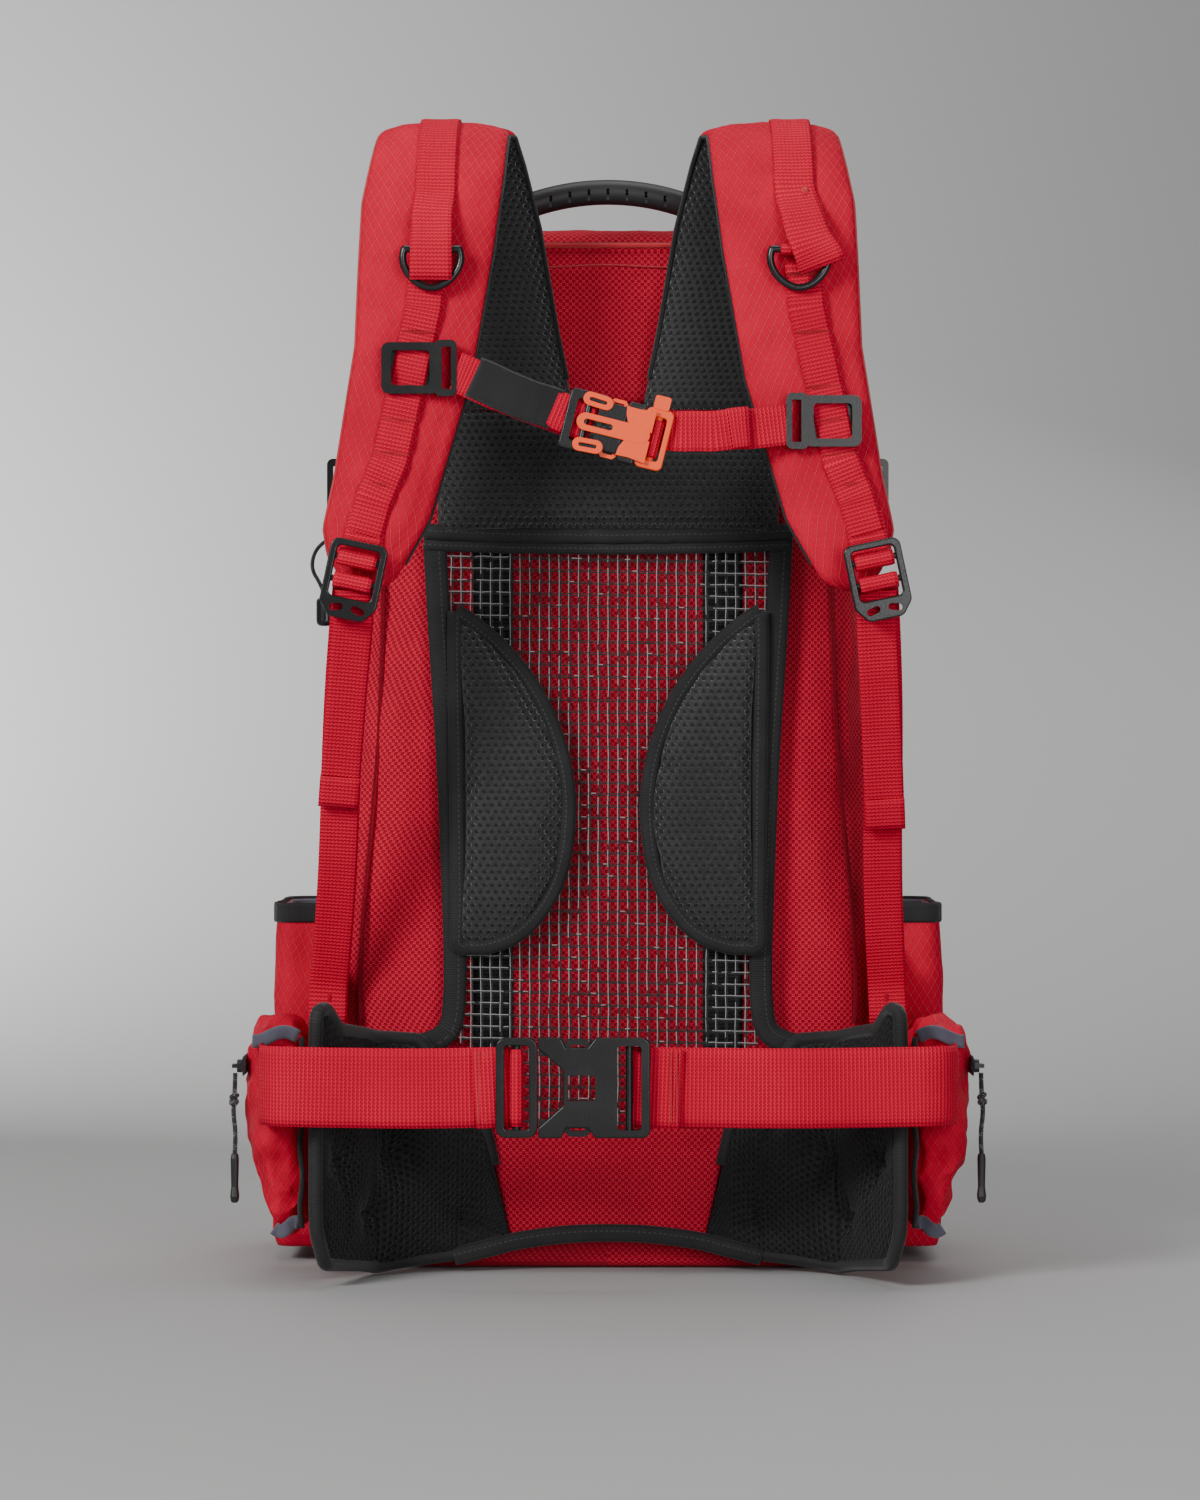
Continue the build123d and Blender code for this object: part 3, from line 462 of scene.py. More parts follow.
def grid(name, rows, mats, index=None, flip=False):
    """A skin over closed rows of points, capped at both ends, with UVs in metres.

    index(row, column) picks the material.
    """
    n, m = len(rows), len(rows[0])
    verts = [v for row in rows for v in row]
    faces, uvs, indices = [], [], []
    us = [lengths(row, True) for row in rows]
    vs = lengths([row[m // 2] for row in rows])
    for i in range(n - 1):
        for j in range(m):
            k = (j + 1) % m
            face = [i * m + j, i * m + k, (i + 1) * m + k, (i + 1) * m + j]
            uv = [(us[i][j], vs[i]), (us[i][j + 1], vs[i]), (us[i + 1][j + 1], vs[i + 1]),
                  (us[i + 1][j], vs[i + 1])]
            if flip:
                face.reverse()
                uv.reverse()
            faces.append(face)
            uvs.append(uv)
            indices.append(index(i, j) if index else 0)
    for row in (0, n - 1):
        face = [row * m + j for j in range(m)]
        if (row == 0) != flip:
            face.reverse()
        faces.append(face)
        uvs.append([(us[row][j], vs[row]) for j in range(m)])
        indices.append(index(max(0, row - 1), 0) if index else 0)
    return add_mesh(name, verts, faces, uvs, mats, indices)


def heading(line, k):
    """Direction of a line at its point k."""
    return (line[min(k + 1, len(line) - 1)] - line[max(k - 1, 0)]).normalized()


def smooth_line(points, step=0.004):
    """Points close together along a smooth line through the given ones."""
    pts = [Vector(p) for p in points]
    pts = [pts[0] * 2 - pts[1]] + pts + [pts[-1] * 2 - pts[-2]]
    line = []
    for k in range(1, len(pts) - 2):
        p0, p1, p2, p3 = pts[k - 1 : k + 3]
        count = max(2, int((p2 - p1).length / step))
        for i in range(count):
            t = i / count
            t2, t3 = t * t, t * t * t
            m1, m2 = (p2 - p0) * 0.5, (p3 - p1) * 0.5
            line.append((2 * t3 - 3 * t2 + 1) * p1 + (t3 - 2 * t2 + t) * m1
                        + (-2 * t3 + 3 * t2) * p2 + (t3 - t2) * m2)
    line.append(pts[-2])
    return line


def tape_section(width, thick, crown):
    """Closed outline of a tape as (across, out) pairs, with soft edges and an optional crown."""
    half, t = width / 2, thick / 2
    top = []
    for k in range(10):
        a = -1 + 2 * k / 9
        soft = min(1.0, (1 - abs(a)) / 0.12) ** 0.5 if abs(a) > 0.88 else 1.0
        top.append((a * half, t * (0.25 + 0.75 * soft) + crown * (1 - a * a)))
    low = [(a, -o + 2 * crown * (1 - (a / half) ** 2)) for a, o in reversed(top)]
    return top + low


def strap(name, line, across, width, thick, mat, crown=0.0, widths=None):
    """Tape along a line. across is one direction, or one for each point of the line."""
    line = [Vector(p) for p in line]
    rows = []
    for k, p in enumerate(line):
        tangent = heading(line, k)
        side = Vector(across[k] if isinstance(across, list) else across)
        side = (side - tangent * side.dot(tangent)).normalized()
        out = side.cross(tangent)
        w = widths[k] if widths else width
        rows.append([p + side * a + out * o for a, o in tape_section(w, thick, crown)])
    return grid(name, rows, [mat])


def turn(count, ends=1):
    """Angles round a full circle in count steps, with the closing one unless ends is 0."""
    return [2 * math.pi * k / count for k in range(count + ends)]


def tube(name, line, radius, mat, sides=10, radii=None):
    """Round cord along a line of points, with UVs round and along it."""
    line = [Vector(p) for p in line]
    rows, side = [], None
    for k, p in enumerate(line):
        tangent = heading(line, k)
        if side is None:
            side = tangent.orthogonal().normalized()
        side = (side - tangent * side.dot(tangent)).normalized()
        up = tangent.cross(side)
        r = radii[k] if radii else radius
        rows.append([p + (side * math.cos(a) + up * math.sin(a)) * r for a in turn(sides, 0)])
    obj = grid(name, rows, [mat])
    layer = obj.data.uv_layers[0]
    for data in layer.data:
        data.uv = (data.uv[0] / (2 * math.pi * radius), data.uv[1])
    return obj


def fbm(p, scale, seed=0.0, octaves=3):
    """Signed noise in about -1 to 1."""
    value, size = 0.0, 1.0
    q = Vector(p) * scale + Vector((seed * 7.31, seed * 3.17, seed * 5.53))
    for _ in range(octaves):
        value += size * noise.noise(q)
        q, size = q * 2.03, size * 0.5
    return value


def lerp(table, x):
    """Value at x from (x, value) pairs in rising or falling order of x."""
    pairs = sorted(table)
    if x <= pairs[0][0]:
        return pairs[0][1]
    for (x0, y0), (x1, y1) in zip(pairs, pairs[1:]):
        if x <= x1:
            t = (x - x0) / (x1 - x0)
            return y0 + (y1 - y0) * t
    return pairs[-1][1]


def ease(table, x):
    """As lerp, but rounded at the given points."""
    d = (max(t[0] for t in table) - min(t[0] for t in table)) * 0.035
    return sum(lerp(table, x + d * k) * w
               for k, w in ((-2, 1), (-1, 2), (0, 2), (1, 2), (2, 1))) / 8


def done(obj, body, slot, *nodes):
    """Puts a piece on its body and hides the CAD nodes that it stands for."""
    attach(obj, body)
    if nodes:
        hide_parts(*nodes)
    return obj


def sewn_line(name, line, radius, mat, body, slot, sides=8):
    """A seam, stitch row or piping on its body."""
    return done(tube(name, line, radius, M[mat], sides=sides), body, slot)


def web(name, line, across, width, thick, body, *nodes, **look):
    """A piece of red webbing on its body."""
    return done(strap(name, line, across, width, thick, M["webbing"], **look), body,
                "red_webbing", *nodes)


def apply_modifiers(obj):
    depsgraph = bpy.context.evaluated_depsgraph_get()
    mesh = bpy.data.meshes.new_from_object(obj.evaluated_get(depsgraph))
    old = obj.data
    obj.modifiers.clear()
    obj.data = mesh
    bpy.data.meshes.remove(old)
    return obj


def middle_of(node):
    lo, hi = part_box(node)
    return (Vector(lo) + Vector(hi)) / 2


def paint(node, mat):
    """Gives a carried-over CAD node its material."""
    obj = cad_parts[node]
    if not obj.material_slots:
        obj.data.materials.append(mat)
    for slot in obj.material_slots:
        slot.material = mat


# ---- padded pieces: shapes first, then one cloth simulation swells them all ---------------------
SWELL = []


def swell(obj, cap, pressure, voxel, keep_back=None, crumple=0.0):
    """Queues a closed shape for the simulation, which moves no point further than cap.

    keep_back is the largest y that a point may have.
    """
    SWELL.append((obj, cap, pressure, voxel, keep_back, crumple))


def run_swell():
    """Remeshes each queued shape, lets air pressure swell it, and keeps the result as its mesh."""
    starts = []
    for obj, _, pressure, voxel, _, _ in SWELL:
        remesh = obj.modifiers.new("remesh", "REMESH")
        remesh.mode = "VOXEL"
        remesh.voxel_size = voxel
        remesh.use_smooth_shade = True
        apply_modifiers(obj)
        starts.append([v.co.copy() for v in obj.data.vertices])
        cloth = obj.modifiers.new("cloth", "CLOTH")
        cloth.settings.use_pressure = True
        cloth.settings.uniform_pressure_force = pressure
        cloth.settings.quality = 4
        cloth.settings.tension_stiffness = cloth.settings.compression_stiffness = 12
        cloth.settings.bending_stiffness = 0.6
        cloth.settings.effector_weights.gravity = 0
        cloth.point_cache.frame_start = 1
        cloth.point_cache.frame_end = 22
    scene = bpy.context.scene
    for number in range(1, 21):
        scene.frame_set(number)
    for (obj, cap, _, _, keep_back, crumple), start in zip(SWELL, starts):
        apply_modifiers(obj)
        for v, rest in zip(obj.data.vertices, start):
            move = v.co - rest
            if move.length > cap:
                v.co = rest + move * (cap / move.length)
            if keep_back is not None:
                v.co.y = min(v.co.y, keep_back)
        if crumple:
            obj.data.update()
            moves = []
            for v in obj.data.vertices:
                p = v.co
                ridge = 1 - 2.2 * abs(fbm((p.x * 1.5 + p.z * 0.6, p.y * 1.2, p.z - p.x * 0.5),
                                          26, 31.0, 2))
                ridge += 0.7 * (1
                                - 2.2 * abs(fbm((p.x, p.y * 0.8 + p.z * 0.5, p.z * 1.5),
                                                43, 7.0, 1)))
                moves.append(v.normal * crumple * (ridge - 1.0))
            for v, move in zip(obj.data.vertices, moves):
                v.co += move
                if v.co.y > 0.24:
                    v.co.y = min(v.co.y, 0.2484 + 0.0032 * ease([(0.009, 0), (0.022, 1)],
                                                                abs(v.co.z - 0.395)))
        for poly in obj.data.polygons:
            poly.use_smooth = True
        mod = obj.modifiers.new("smooth", "SUBSURF")
        mod.levels = mod.render_levels = 1
    scene.frame_set(1)


# ---- the bag ------------------------------------------------------------------------------------
LEVELS = [  # height, half width, back y, front y
    (0.000, 0.142, -0.002, 0.178),
    (0.045, 0.170, 0.000, 0.205),
    (0.200, 0.182, 0.000, 0.215),
    (0.380, 0.170, 0.000, 0.212),
    (0.560, 0.160, 0.000, 0.195),
    (0.672, 0.150, 0.004, 0.170),
]
CORNER = 0.038
LID_Y, LID_Z = 0.0485, 0.6730  # the lid's hinge line and its underside
LID_MID = 0.109
STRIP_Y = 0.0045  # rear edge of the strip between the back and the lid


def level_at(z):
    return tuple(ease([(r[0], r[k]) for r in LEVELS], z) for k in (1, 2, 3))


def ring_point(half, back, front, corner, t):
    """A point (x, y) and its outward direction on a rounded rectangle.

    t goes from 0 to 1 round it, from the middle of its back.
    """
    wide, deep = 2 * (half - corner), (front - back) - 2 * corner
    arc = corner * math.pi / 2
    total = 2 * wide + 2 * deep + 4 * arc
    s = t * total
    runs = [(wide / 2, 0), (arc, 1), (deep, 2), (arc, 3), (wide, 4), (arc, 5), (deep, 6), (arc, 7),
            (wide / 2, 8)]
    for length, kind in runs:
        if s <= length or kind == 8:
            break
        s -= length
    a = s / corner
    x1, y0, y1 = half - corner, back + corner, front - corner
    if kind == 0:
        return (s, back), (0, -1)
    if kind == 1:
        return (x1 + corner * math.sin(a), y0 - corner * math.cos(a)), (math.sin(a), -math.cos(a))
    if kind == 2:
        return (half, y0 + s), (1, 0)
    if kind == 3:
        return (x1 + corner * math.cos(a), y1 + corner * math.sin(a)), (math.cos(a), math.sin(a))
    if kind == 4:
        return (x1 - s, front), (0, 1)
    if kind == 5:
        return (-x1 - corner * math.sin(a), y1 + corner * math.cos(a)), (-math.sin(a), math.cos(a))
    if kind == 6:
        return (-half, y1 - s), (-1, 0)
    if kind == 7:
        return (-x1 - corner * math.cos(a), y0 - corner * math.sin(a)), (-math.cos(a), -math.sin(a))
    return (-x1 + s, back), (0, -1)


RING = 176


def bag_ring(z, grow=0.0, folds=1.0, round_off=0.0):
    half, back, front = level_at(z)
    points = []
    for k in range(RING):
        (x, y), (nx, ny) = ring_point(half + grow - round_off, back - grow + round_off,
                                      front + grow - round_off, CORNER, k / RING)
        side = min(1.0, max(0.0, (abs(x) - 0.112) / 0.03)) if y < 0.03 else 1.0
        p = Vector((x, y, z))
        crease = fbm((x, y, z * 0.42), 22, 1.0, 3)
        sag = 0.0046 * crease + 0.0026 * fbm((x, y, z), 9, 2.0, 2)
        sag += 0.0034 * abs(fbm((x * 1.5 + z * 0.35, y * 1.3, z * 0.34), 30, 3.0, 2))
        edge = max(0.0, min(1.0, (0.655 - z) / 0.05, z / 0.03 + 0.2))
        p += Vector((nx, ny, 0)) * (sag - 0.0022) * side * folds * edge
        points.append(p)
    return points


def build_bag():
    rows = []
    base = bag_ring(0.0005, folds=0.0, round_off=0.004)
    centre = Vector((0, 0.095, 0.0005))
    for t in (0.02, 0.4, 0.8, 0.94):
        rows.append([centre.lerp(p, t) for p in base])
    rows.append(base)
    z = 0.004
    while z < 0.668:
        rows.append(bag_ring(z, folds=1.0))
        z += 0.0065
    rows.append(bag_ring(0.6700, folds=0.0, round_off=0.0004))
    outer_rows = len(rows)
    rows.append(bag_ring(0.6718, folds=0.0, grow=-0.0016))
    rows.append(bag_ring(0.6700, folds=0.0, grow=-0.0042))
    z = 0.64
    while z > 0.02:
        rows.append(bag_ring(z, grow=-0.0045 - 0.0070 * min(1.0, (0.66 - z) / 0.05), folds=0.5))
        z -= 0.03
    low = bag_ring(0.012, grow=-0.0110, folds=0.0, round_off=0.004)
    rows.append(low)
    middle = Vector((0, 0.095, 0.010))
    for t in (0.9, 0.5, 0.02):
        rows.append([middle.lerp(p, t) for p in low])
    bag = grid("bag_shell", rows, [M["ballistic_uv"], M["lining"]],
               index=lambda i, j: 0 if i < outer_rows else 1)
    done(bag, "pack", "red_cloth", "main_bag")

    strip = []
    for k in range(15):
        y = STRIP_Y + (LID_Y - 0.0012 - STRIP_Y) * k / 14
        reach = 0.150 - CORNER + math.sqrt(max(0, CORNER**2 - max(0, CORNER - (y - 0.004)) ** 2))
        lift = 0.0022 * math.sin(math.pi * min(1, k / 10)) ** 0.6
        top = [Vector((-reach + 2 * reach * j / 60, y,
                       0.6716 + lift * (1 - abs(-1 + 2 * j / 60) ** 4)
                       + 0.0005 * fbm((j * 0.05, y, 0), 20))) for j in range(61)]
        low = [Vector((p.x * 0.995, p.y, 0.6682)) for p in reversed(top)]
        strip.append(top + low)
    done(grid("top_strip", strip, [M["ballistic_uv"]]), "pack", "red_cloth", "main_bag")


def hug(tree, x, y, z, out, lift):
    """The point where a line coming in against out meets a surface, raised by lift."""
    out = Vector(out)
    place, _, _, _ = tree.ray_cast(Vector((x, y, z)) + out * 0.08, -out)
    return (place if place else Vector((x, y, z))) + out * lift


def tree_of(name):
    mesh = bpy.data.objects[name].data
    return BVHTree.FromPolygons([v.co for v in mesh.vertices], [p.vertices for p in mesh.polygons])


def lid_outline(inset=0.0):
    """Closed outline of the lid in plan, from the hinge line's left end."""
    back, front, half = LID_Y + 0.0006 + inset, 0.170 - inset, 0.150 - inset
    corner = CORNER - inset
    pts = [(-half + 2 * half * k / 40, back) for k in range(40)]
    pts += [(half, back + (front - corner - back) * k / 22) for k in range(22)]
    pts += [(half - corner + corner * math.cos(a), front - corner + corner * math.sin(a))
            for a in turn(48)[:12]]
    pts += [(half - corner - 2 * (half - corner) * k / 34, front) for k in range(34)]
    pts += [(-half + corner - corner * math.sin(a), front - corner + corner * math.cos(a))
            for a in turn(48)[:12]]
    pts += [(-half, front - corner - (front - corner - back) * k / 22) for k in range(22)]
    return pts


def build_lid():
    rows = []
    for t in (0.03, 0.3, 0.6, 0.85, 0.97):
        rows.append([Vector((x * t, LID_MID + (y - LID_MID) * t, 0.6727))
                     for x, y in lid_outline()])
    rows.append([Vector((x, y, LID_Z)) for x, y in lid_outline()])
    for k in range(1, 16):
        t = k / 15
        shrink = 1 - t**1.6 * 0.985
        height = 0.0165 * (1 - (1 - t) ** 3.2)
        row = []
        for x, y in lid_outline():
            px, py = x * shrink, LID_MID + (y - LID_MID) * shrink
            bump = 0.0009 * fbm((px, py, 0.3), 30, 5.0, 3) * min(1, t * 4)
            row.append(Vector((px, py, LID_Z + height + bump)))
        rows.append(row)
    lid = grid("lid_cover", rows, [M["lining"], M["ballistic_xy"]],
               index=lambda i, j: 0 if i < 5 else 1)
    done(lid, "lid", "red_cloth", "top_lid")
    edge = [Vector((x * 1.002, y, 0.6742)) for x, y in lid_outline(inset=-0.0003)[41:]]
    sewn_line("lid_piping", edge, 0.0013, "binding_round", "lid", "zip_tape")


TOOTH_PITCH = 0.0021
BOX_FACES = ((0, 3, 2, 1), (4, 5, 6, 7), (0, 1, 5, 4), (1, 2, 6, 5), (2, 3, 7, 6), (3, 0, 4, 7))


def zip_line(name, line, across):
    """Zip: a woven tape, and two rows of small teeth that meet along its middle."""
    done(strap(name + "_tape", line, across, 0.0125, 0.0009, M["black_cloth"]), "pack", "zip_tape",
         "zip_tapes")
    line = [Vector(p) for p in line]
    marks = lengths(line)
    verts, faces, uvs = [], [], []
    k = 0
    for i in range(int(marks[-1] / TOOTH_PITCH)):
        s = (i + 0.5) * TOOTH_PITCH
        while k < len(marks) - 2 and marks[k + 1] < s:
            k += 1
        f = (s - marks[k]) / max(1e-9, marks[k + 1] - marks[k])
        p = line[k].lerp(line[k + 1], f)
        tangent = (line[k + 1] - line[k]).normalized()
        cross = Vector(across[k] if isinstance(across, list) else across)
        cross = (cross - tangent * cross.dot(tangent)).normalized()
        out = cross.cross(tangent)
        shift = 0.0007 if i % 2 else -0.0007
        base = len(verts)
        for a, b, c in ((-1, -1, 0), (1, -1, 0), (1, 1, 0), (-1, 1, 0), (-0.8, -0.7, 1),
                        (0.8, -0.7, 1), (0.8, 0.7, 1), (-0.8, 0.7, 1)):
            verts.append(p + cross * (a * 0.0015 + shift) + tangent * b * TOOTH_PITCH * 0.33
                         + out * (0.0003 + 0.0011 * c))
        faces += [[base + q for q in face] for face in BOX_FACES]
        uvs += [[(0, s)] * 4] * len(BOX_FACES)
    teeth = add_mesh(name + "_teeth", verts, faces, uvs, [M["plastic"]], smooth=False)
    done(teeth, "pack", "zip_tape", "zip_tapes")


def build_zips():
    tree = tree_of("bag_shell")
    line, across = [], []
    start = 0.118
    for k in range(97):
        t = start + (1 - 2 * start) * k / 96
        (x, y), (nx, ny) = ring_point(0.1510, 0.0030, 0.1714, CORNER + 0.002, t)
        if y > LID_Y - 0.001:
            line.append(hug(tree, x, y, 0.6640, (nx, ny, 0), 0.0008))
            across.append(Vector((-0.089 * nx, -0.22 * ny, 1)))
    zip_line("lid_zip", line, across)
    zip_line("front_zip", [(0.086 - 0.172 * k / 30, 0.2494, 0.395) for k in range(31)], (0, 0, 1))
    for side, name in SIDES:
        run = [(side * 0.2320, (-0.082 + 0.096 * k / 24) if side < 0 else (0.014 - 0.096 * k / 24),
                0.138) for k in range(25)]
        zip_line(f"hip_zip_{name}", run if side < 0 else run[::-1], (0, 0, 1))


def build_front_pocket():
    """Puffed pocket on the bag's front, with its outline sewn to the bag."""
    outline = [(-0.106, 0.072), (0.106, 0.072), (0.1105, 0.25), (0.097, 0.427), (-0.097, 0.427),
               (-0.1105, 0.25)]
    ring = []
    corner = 0.024
    n = len(outline)
    for k in range(n):
        a, b, c = (Vector((*outline[(k + d) % n], 0)) for d in (-1, 0, 1))
        r = corner if abs((b - a).angle(c - b)) > 0.6 else 0.05
        start, end = b + (a - b).normalized() * r, b + (c - b).normalized() * r
        ring += [start.lerp(b, t).lerp(b.lerp(end, t), t) for t in (i / 6 for i in range(7))]
    rows = []
    centre = Vector((0, 0.25, 0))
    depths = [(1.0, 0.204), (1.0, 0.222), (0.99, 0.234), (0.965, 0.2425), (0.92, 0.2468),
              (0.8, 0.2488), (0.6, 0.2496), (0.35, 0.2500), (0.03, 0.2502)]
    for scale, y in depths:
        row = []
        for p in ring:
            q = centre.lerp(p, scale)
            front = level_at(q.y)[2]
            depth = y if scale < 1 or y > 0.21 else front - 0.006
            row.append(Vector((q.x, max(depth, front - 0.006), q.y)))
        rows.append(row)
    back = [[Vector((centre.lerp(p, t).x, level_at(centre.lerp(p, t).y)[2] - 0.006,
                     centre.lerp(p, t).y)) for p in ring] for t in (0.03, 0.5, 0.9)]
    pocket = grid("front_pocket_cloth", back + rows, [M["ripstop_wrap"]], flip=True)
    swell(pocket, 0.0035, 3.0, voxel=0.006, crumple=0.0012)
    done(pocket, "pack", "red_cloth", "front_pocket")


def open_pocket(side):
    """Bottle pocket: a cloth tub with an elastic rim, open at the top."""
    name = NAMES[side]

    def ring(z, grow, pinch=0.0):
        pts = []
        for k in range(96):
            (x, y), (nx, ny) = ring_point(0.037, 0.032, 0.172, 0.016, k / 96)
            x, y = x + nx * grow, y + ny * grow
            wx = 0.187 + x
            limit = level_at(z)[0] - 0.0085
            fold = 0.0032 * fbm((x, y * 0.6, z * 0.5), 26, 7.0 + side, 3) * min(1, z / 0.05)
            scallop = 0.0011 * math.sin(y * 2 * math.pi / 0.011 + x * 300) * max(0,
                                                                                 (z - 0.215) / 0.02)
            wx += (fold + scallop - pinch) * max(0, nx)
            wy = y + (fold - pinch) * ny
            wx = max(wx, limit)
            pts.append(Vector((side * wx, wy, z)))
        return pts if side > 0 else pts[::-1]

    floor = ring(0.0095, -0.004)
    centre = sum(floor, Vector()) / len(floor)
    rows = [[centre.lerp(p, t) for p in floor] for t in (0.05, 0.5, 0.9)] + [floor]
    for k in range(38):
        z = 0.012 + 0.2225 * k / 37
        rows.append(ring(z, -0.001 if k else -0.003, 0.0035 * max(0, (z - 0.19) / 0.045)))
    outer = len(rows)
    rows.append(ring(0.2355, -0.0025, 0.0035))
    for k in range(12):
        z = 0.2335 - 0.215 * k / 11
        rows.append(ring(z, -0.004, 0.0035 * max(0, (z - 0.19) / 0.045)))
    low = rows[-1]
    middle = sum(low, Vector()) / len(low)
    for t in (0.6, 0.05):
        rows.append([middle.lerp(p, t) for p in low])
    pocket = grid(f"bottle_pocket_{name}", rows, [M["strap_red"], M["lining"]],
                  index=lambda i, j: 0 if i < outer else 1)
    done(pocket, "pack", "red_cloth", "side_pockets")
    rim = ring(0.231, 0.0006, 0.0035)
    rim.append(rim[0].copy())
    done(strap(f"bottle_rim_{name}", rim, (0, 0, 1), 0.013, 0.0012, M["binding"]),
         "pack", "zip_tape")


STRAP_Z = 0.513  # height of the side straps


def build_side_trim():
    tree = tree_of("bag_shell")
    for side, name in SIDES:
        line = []
        for k in range(45):
            y = 0.030 + 0.128 * k / 44
            out = max(hug(tree, side * 0.16, y, STRAP_Z + dz, (side, 0, 0), 0).x * side
                      for dz in (-0.009, -0.0045, 0, 0.0045, 0.009))
            line.append(Vector((side * (out + 0.0012), y, STRAP_Z)))
        near = [line[max(0, k - 2) : k + 3] for k in range(len(line))]
        line = [Vector((sum(q.x for q in part) / len(part) + side * 0.0004, p.y, p.z))
                for part, p in zip(near, line)]
        web(f"side_strap_{name}", line, (0, 0, 1), 0.020, 0.0014, "pack", "compression_straps")
        loop = [(side * (0.1725 + 0.0075 * math.cos(a) - 0.002), 0.0465 + 0.0052 * math.sin(a),
                 STRAP_Z) for a in turn(24)]
        web(f"side_loop_{name}", loop, (0, 0, 1), 0.018, 0.0012, "pack")
    paint("compression_buckles", M["plastic"])


def build_gear_loops():
    for side, name in SIDES:
        line = smooth_line([(side * 0.07, y, z)
                            for y, z in ((0.2135, 0.070), (0.2245, 0.060), (0.2335, 0.045),
                            (0.2330, 0.028), (0.2200, 0.017), (0.2060, 0.0135))], 0.003)
        web(f"gear_loop_{name}", line, (1, 0, 0), 0.020, 0.0016, "pack", "gear_loops")


# ---- the back -----------------------------------------------------------------------------------
def net_edge(z):
    return lerp([(0.094, 0.078), (0.157, 0.0967), (0.205, 0.0967), (0.322, 0.1006),
                 (0.474, 0.1098)], z)


def build_net():
    """A net of single threads over black stays: light ones down it, darker ones across."""
    rng = random.Random(4)
    pitch, drop = 0.0064, 0.00766
    verts, faces, uvs, kinds = [], [], [], []

    def thread(points, radius, upright, dark):
        base = len(verts)
        for p in points:
            for k in range(4):
                a = math.pi / 4 + math.pi / 2 * k
                wide, deep = radius * math.cos(a), radius * math.sin(a)
                verts.append(Vector(p) + Vector((wide, deep, 0) if upright else (0, deep, wide)))
        for i in range(len(points) - 1):
            shade = int(rng.random() < dark(points[i][0]))
            for k in range(4):
                q = (k + 1) % 4
                faces.append([base + 4 * i + k, base + 4 * i + q, base + 4 * (i + 1) + q,
                              base + 4 * (i + 1) + k])
                uvs.append([(0, i * pitch), (0.001, i * pitch), (0.001, (i + 1) * pitch),
                            (0, (i + 1) * pitch)])
                kinds.append(shade)

    steps = [0.094 + drop * 0.5 * k for k in range(int(0.380 / (drop * 0.5)) + 1)]
    for column in range(-17, 18):
        x = column * pitch
        pts = [(x + 0.0004 * fbm((x, z, 0.1), 60, 1.0),
                -0.0106 + 0.0003 * math.sin(z / drop * math.pi + column), z)
                for z in steps if abs(x) < net_edge(z) + 0.003]
        if len(pts) > 3:
            thread(pts, 0.00040, True, lambda x: 0.08)
            thread([(px + 0.0011, y + 0.0007, z) for px, y, z in pts], 0.00055, True, lambda x: 1)
    for row in range(int(0.376 / drop) + 1):
        z = 0.096 + drop * row
        edge = net_edge(z) + 0.003
        n = int(2 * edge / (pitch * 0.5)) + 1
        pts = []
        for k in range(n + 1):
            x = -edge + 2 * edge * k / n
            pts.append((x, -0.0106 - 0.0003 * math.sin(x / pitch * math.pi + row),
                        z - 0.02 * x + 0.00045 * fbm((k * 0.01, z, 0.4), 80, 2.0)))
        thread(pts, 0.00042, False, lambda x: 0.08 if abs(x) > 0.066 else 0.95)
        thread([(x, y + 0.0007, pz - 0.0011) for x, y, pz in pts], 0.00060, False, lambda x: 1)
    net = add_mesh("back_net", verts, faces, uvs, [M["net_light"], M["net_dark"]], kinds)
    done(net, "pack", "net", "net_panel")
    for side, name in SIDES:
        line = [(side * 0.075, -0.0010, 0.100 + 0.374 * k / 40) for k in range(41)]
        done(strap(f"stay_sleeve_{name}", line, (1, 0, 0), 0.026, 0.0014, M["black_web"]), "pack",
             "black_mesh", "stay_sleeves")


def edge_tape(name, line, width, *nodes, crown=0.0009, thick=0.0026):
    """Binding tape laid along a line, facing the wearer."""
    line = [Vector(p) for p in line]
    across = [heading(line, k).cross(Vector((0, -1, 0))) for k in range(len(line))]
    done(strap(name, line, across, width, thick, M["binding"], crown=crown), "pack",
         "black_mesh", *nodes)


def build_bindings():
    for side, name in SIDES:
        line = smooth_line([(side * x, y, z)
                            for x, y, z in ((0.1130, -0.0118, 0.475), (0.1100, -0.0122, 0.42),
                                            (0.1040, -0.0124, 0.322),
                            (0.1000, -0.0122, 0.215), (0.1005, -0.0118, 0.172),
                            (0.1050, -0.0115, 0.155), (0.1180, -0.0112, 0.1475),
                            (0.1300, -0.0110, 0.1460))], 0.004)
        edge_tape(f"net_binding_{name}", line, 0.0150, "net_bindings")
        sides = smooth_line([(side * x, y, z) for x, y, z in ((0.1195, -0.0045, 0.475),
                (0.1165, -0.0045, 0.42), (0.1105, -0.0045, 0.322),
                             (0.1065, -0.0045, 0.215), (0.1070, -0.0045, 0.160))], 0.006)
        done(strap(f"net_side_{name}", sides, (0, 1, 0), 0.0105, 0.0016, M["black_cloth"]), "pack",
             "black_mesh", "net_bindings")


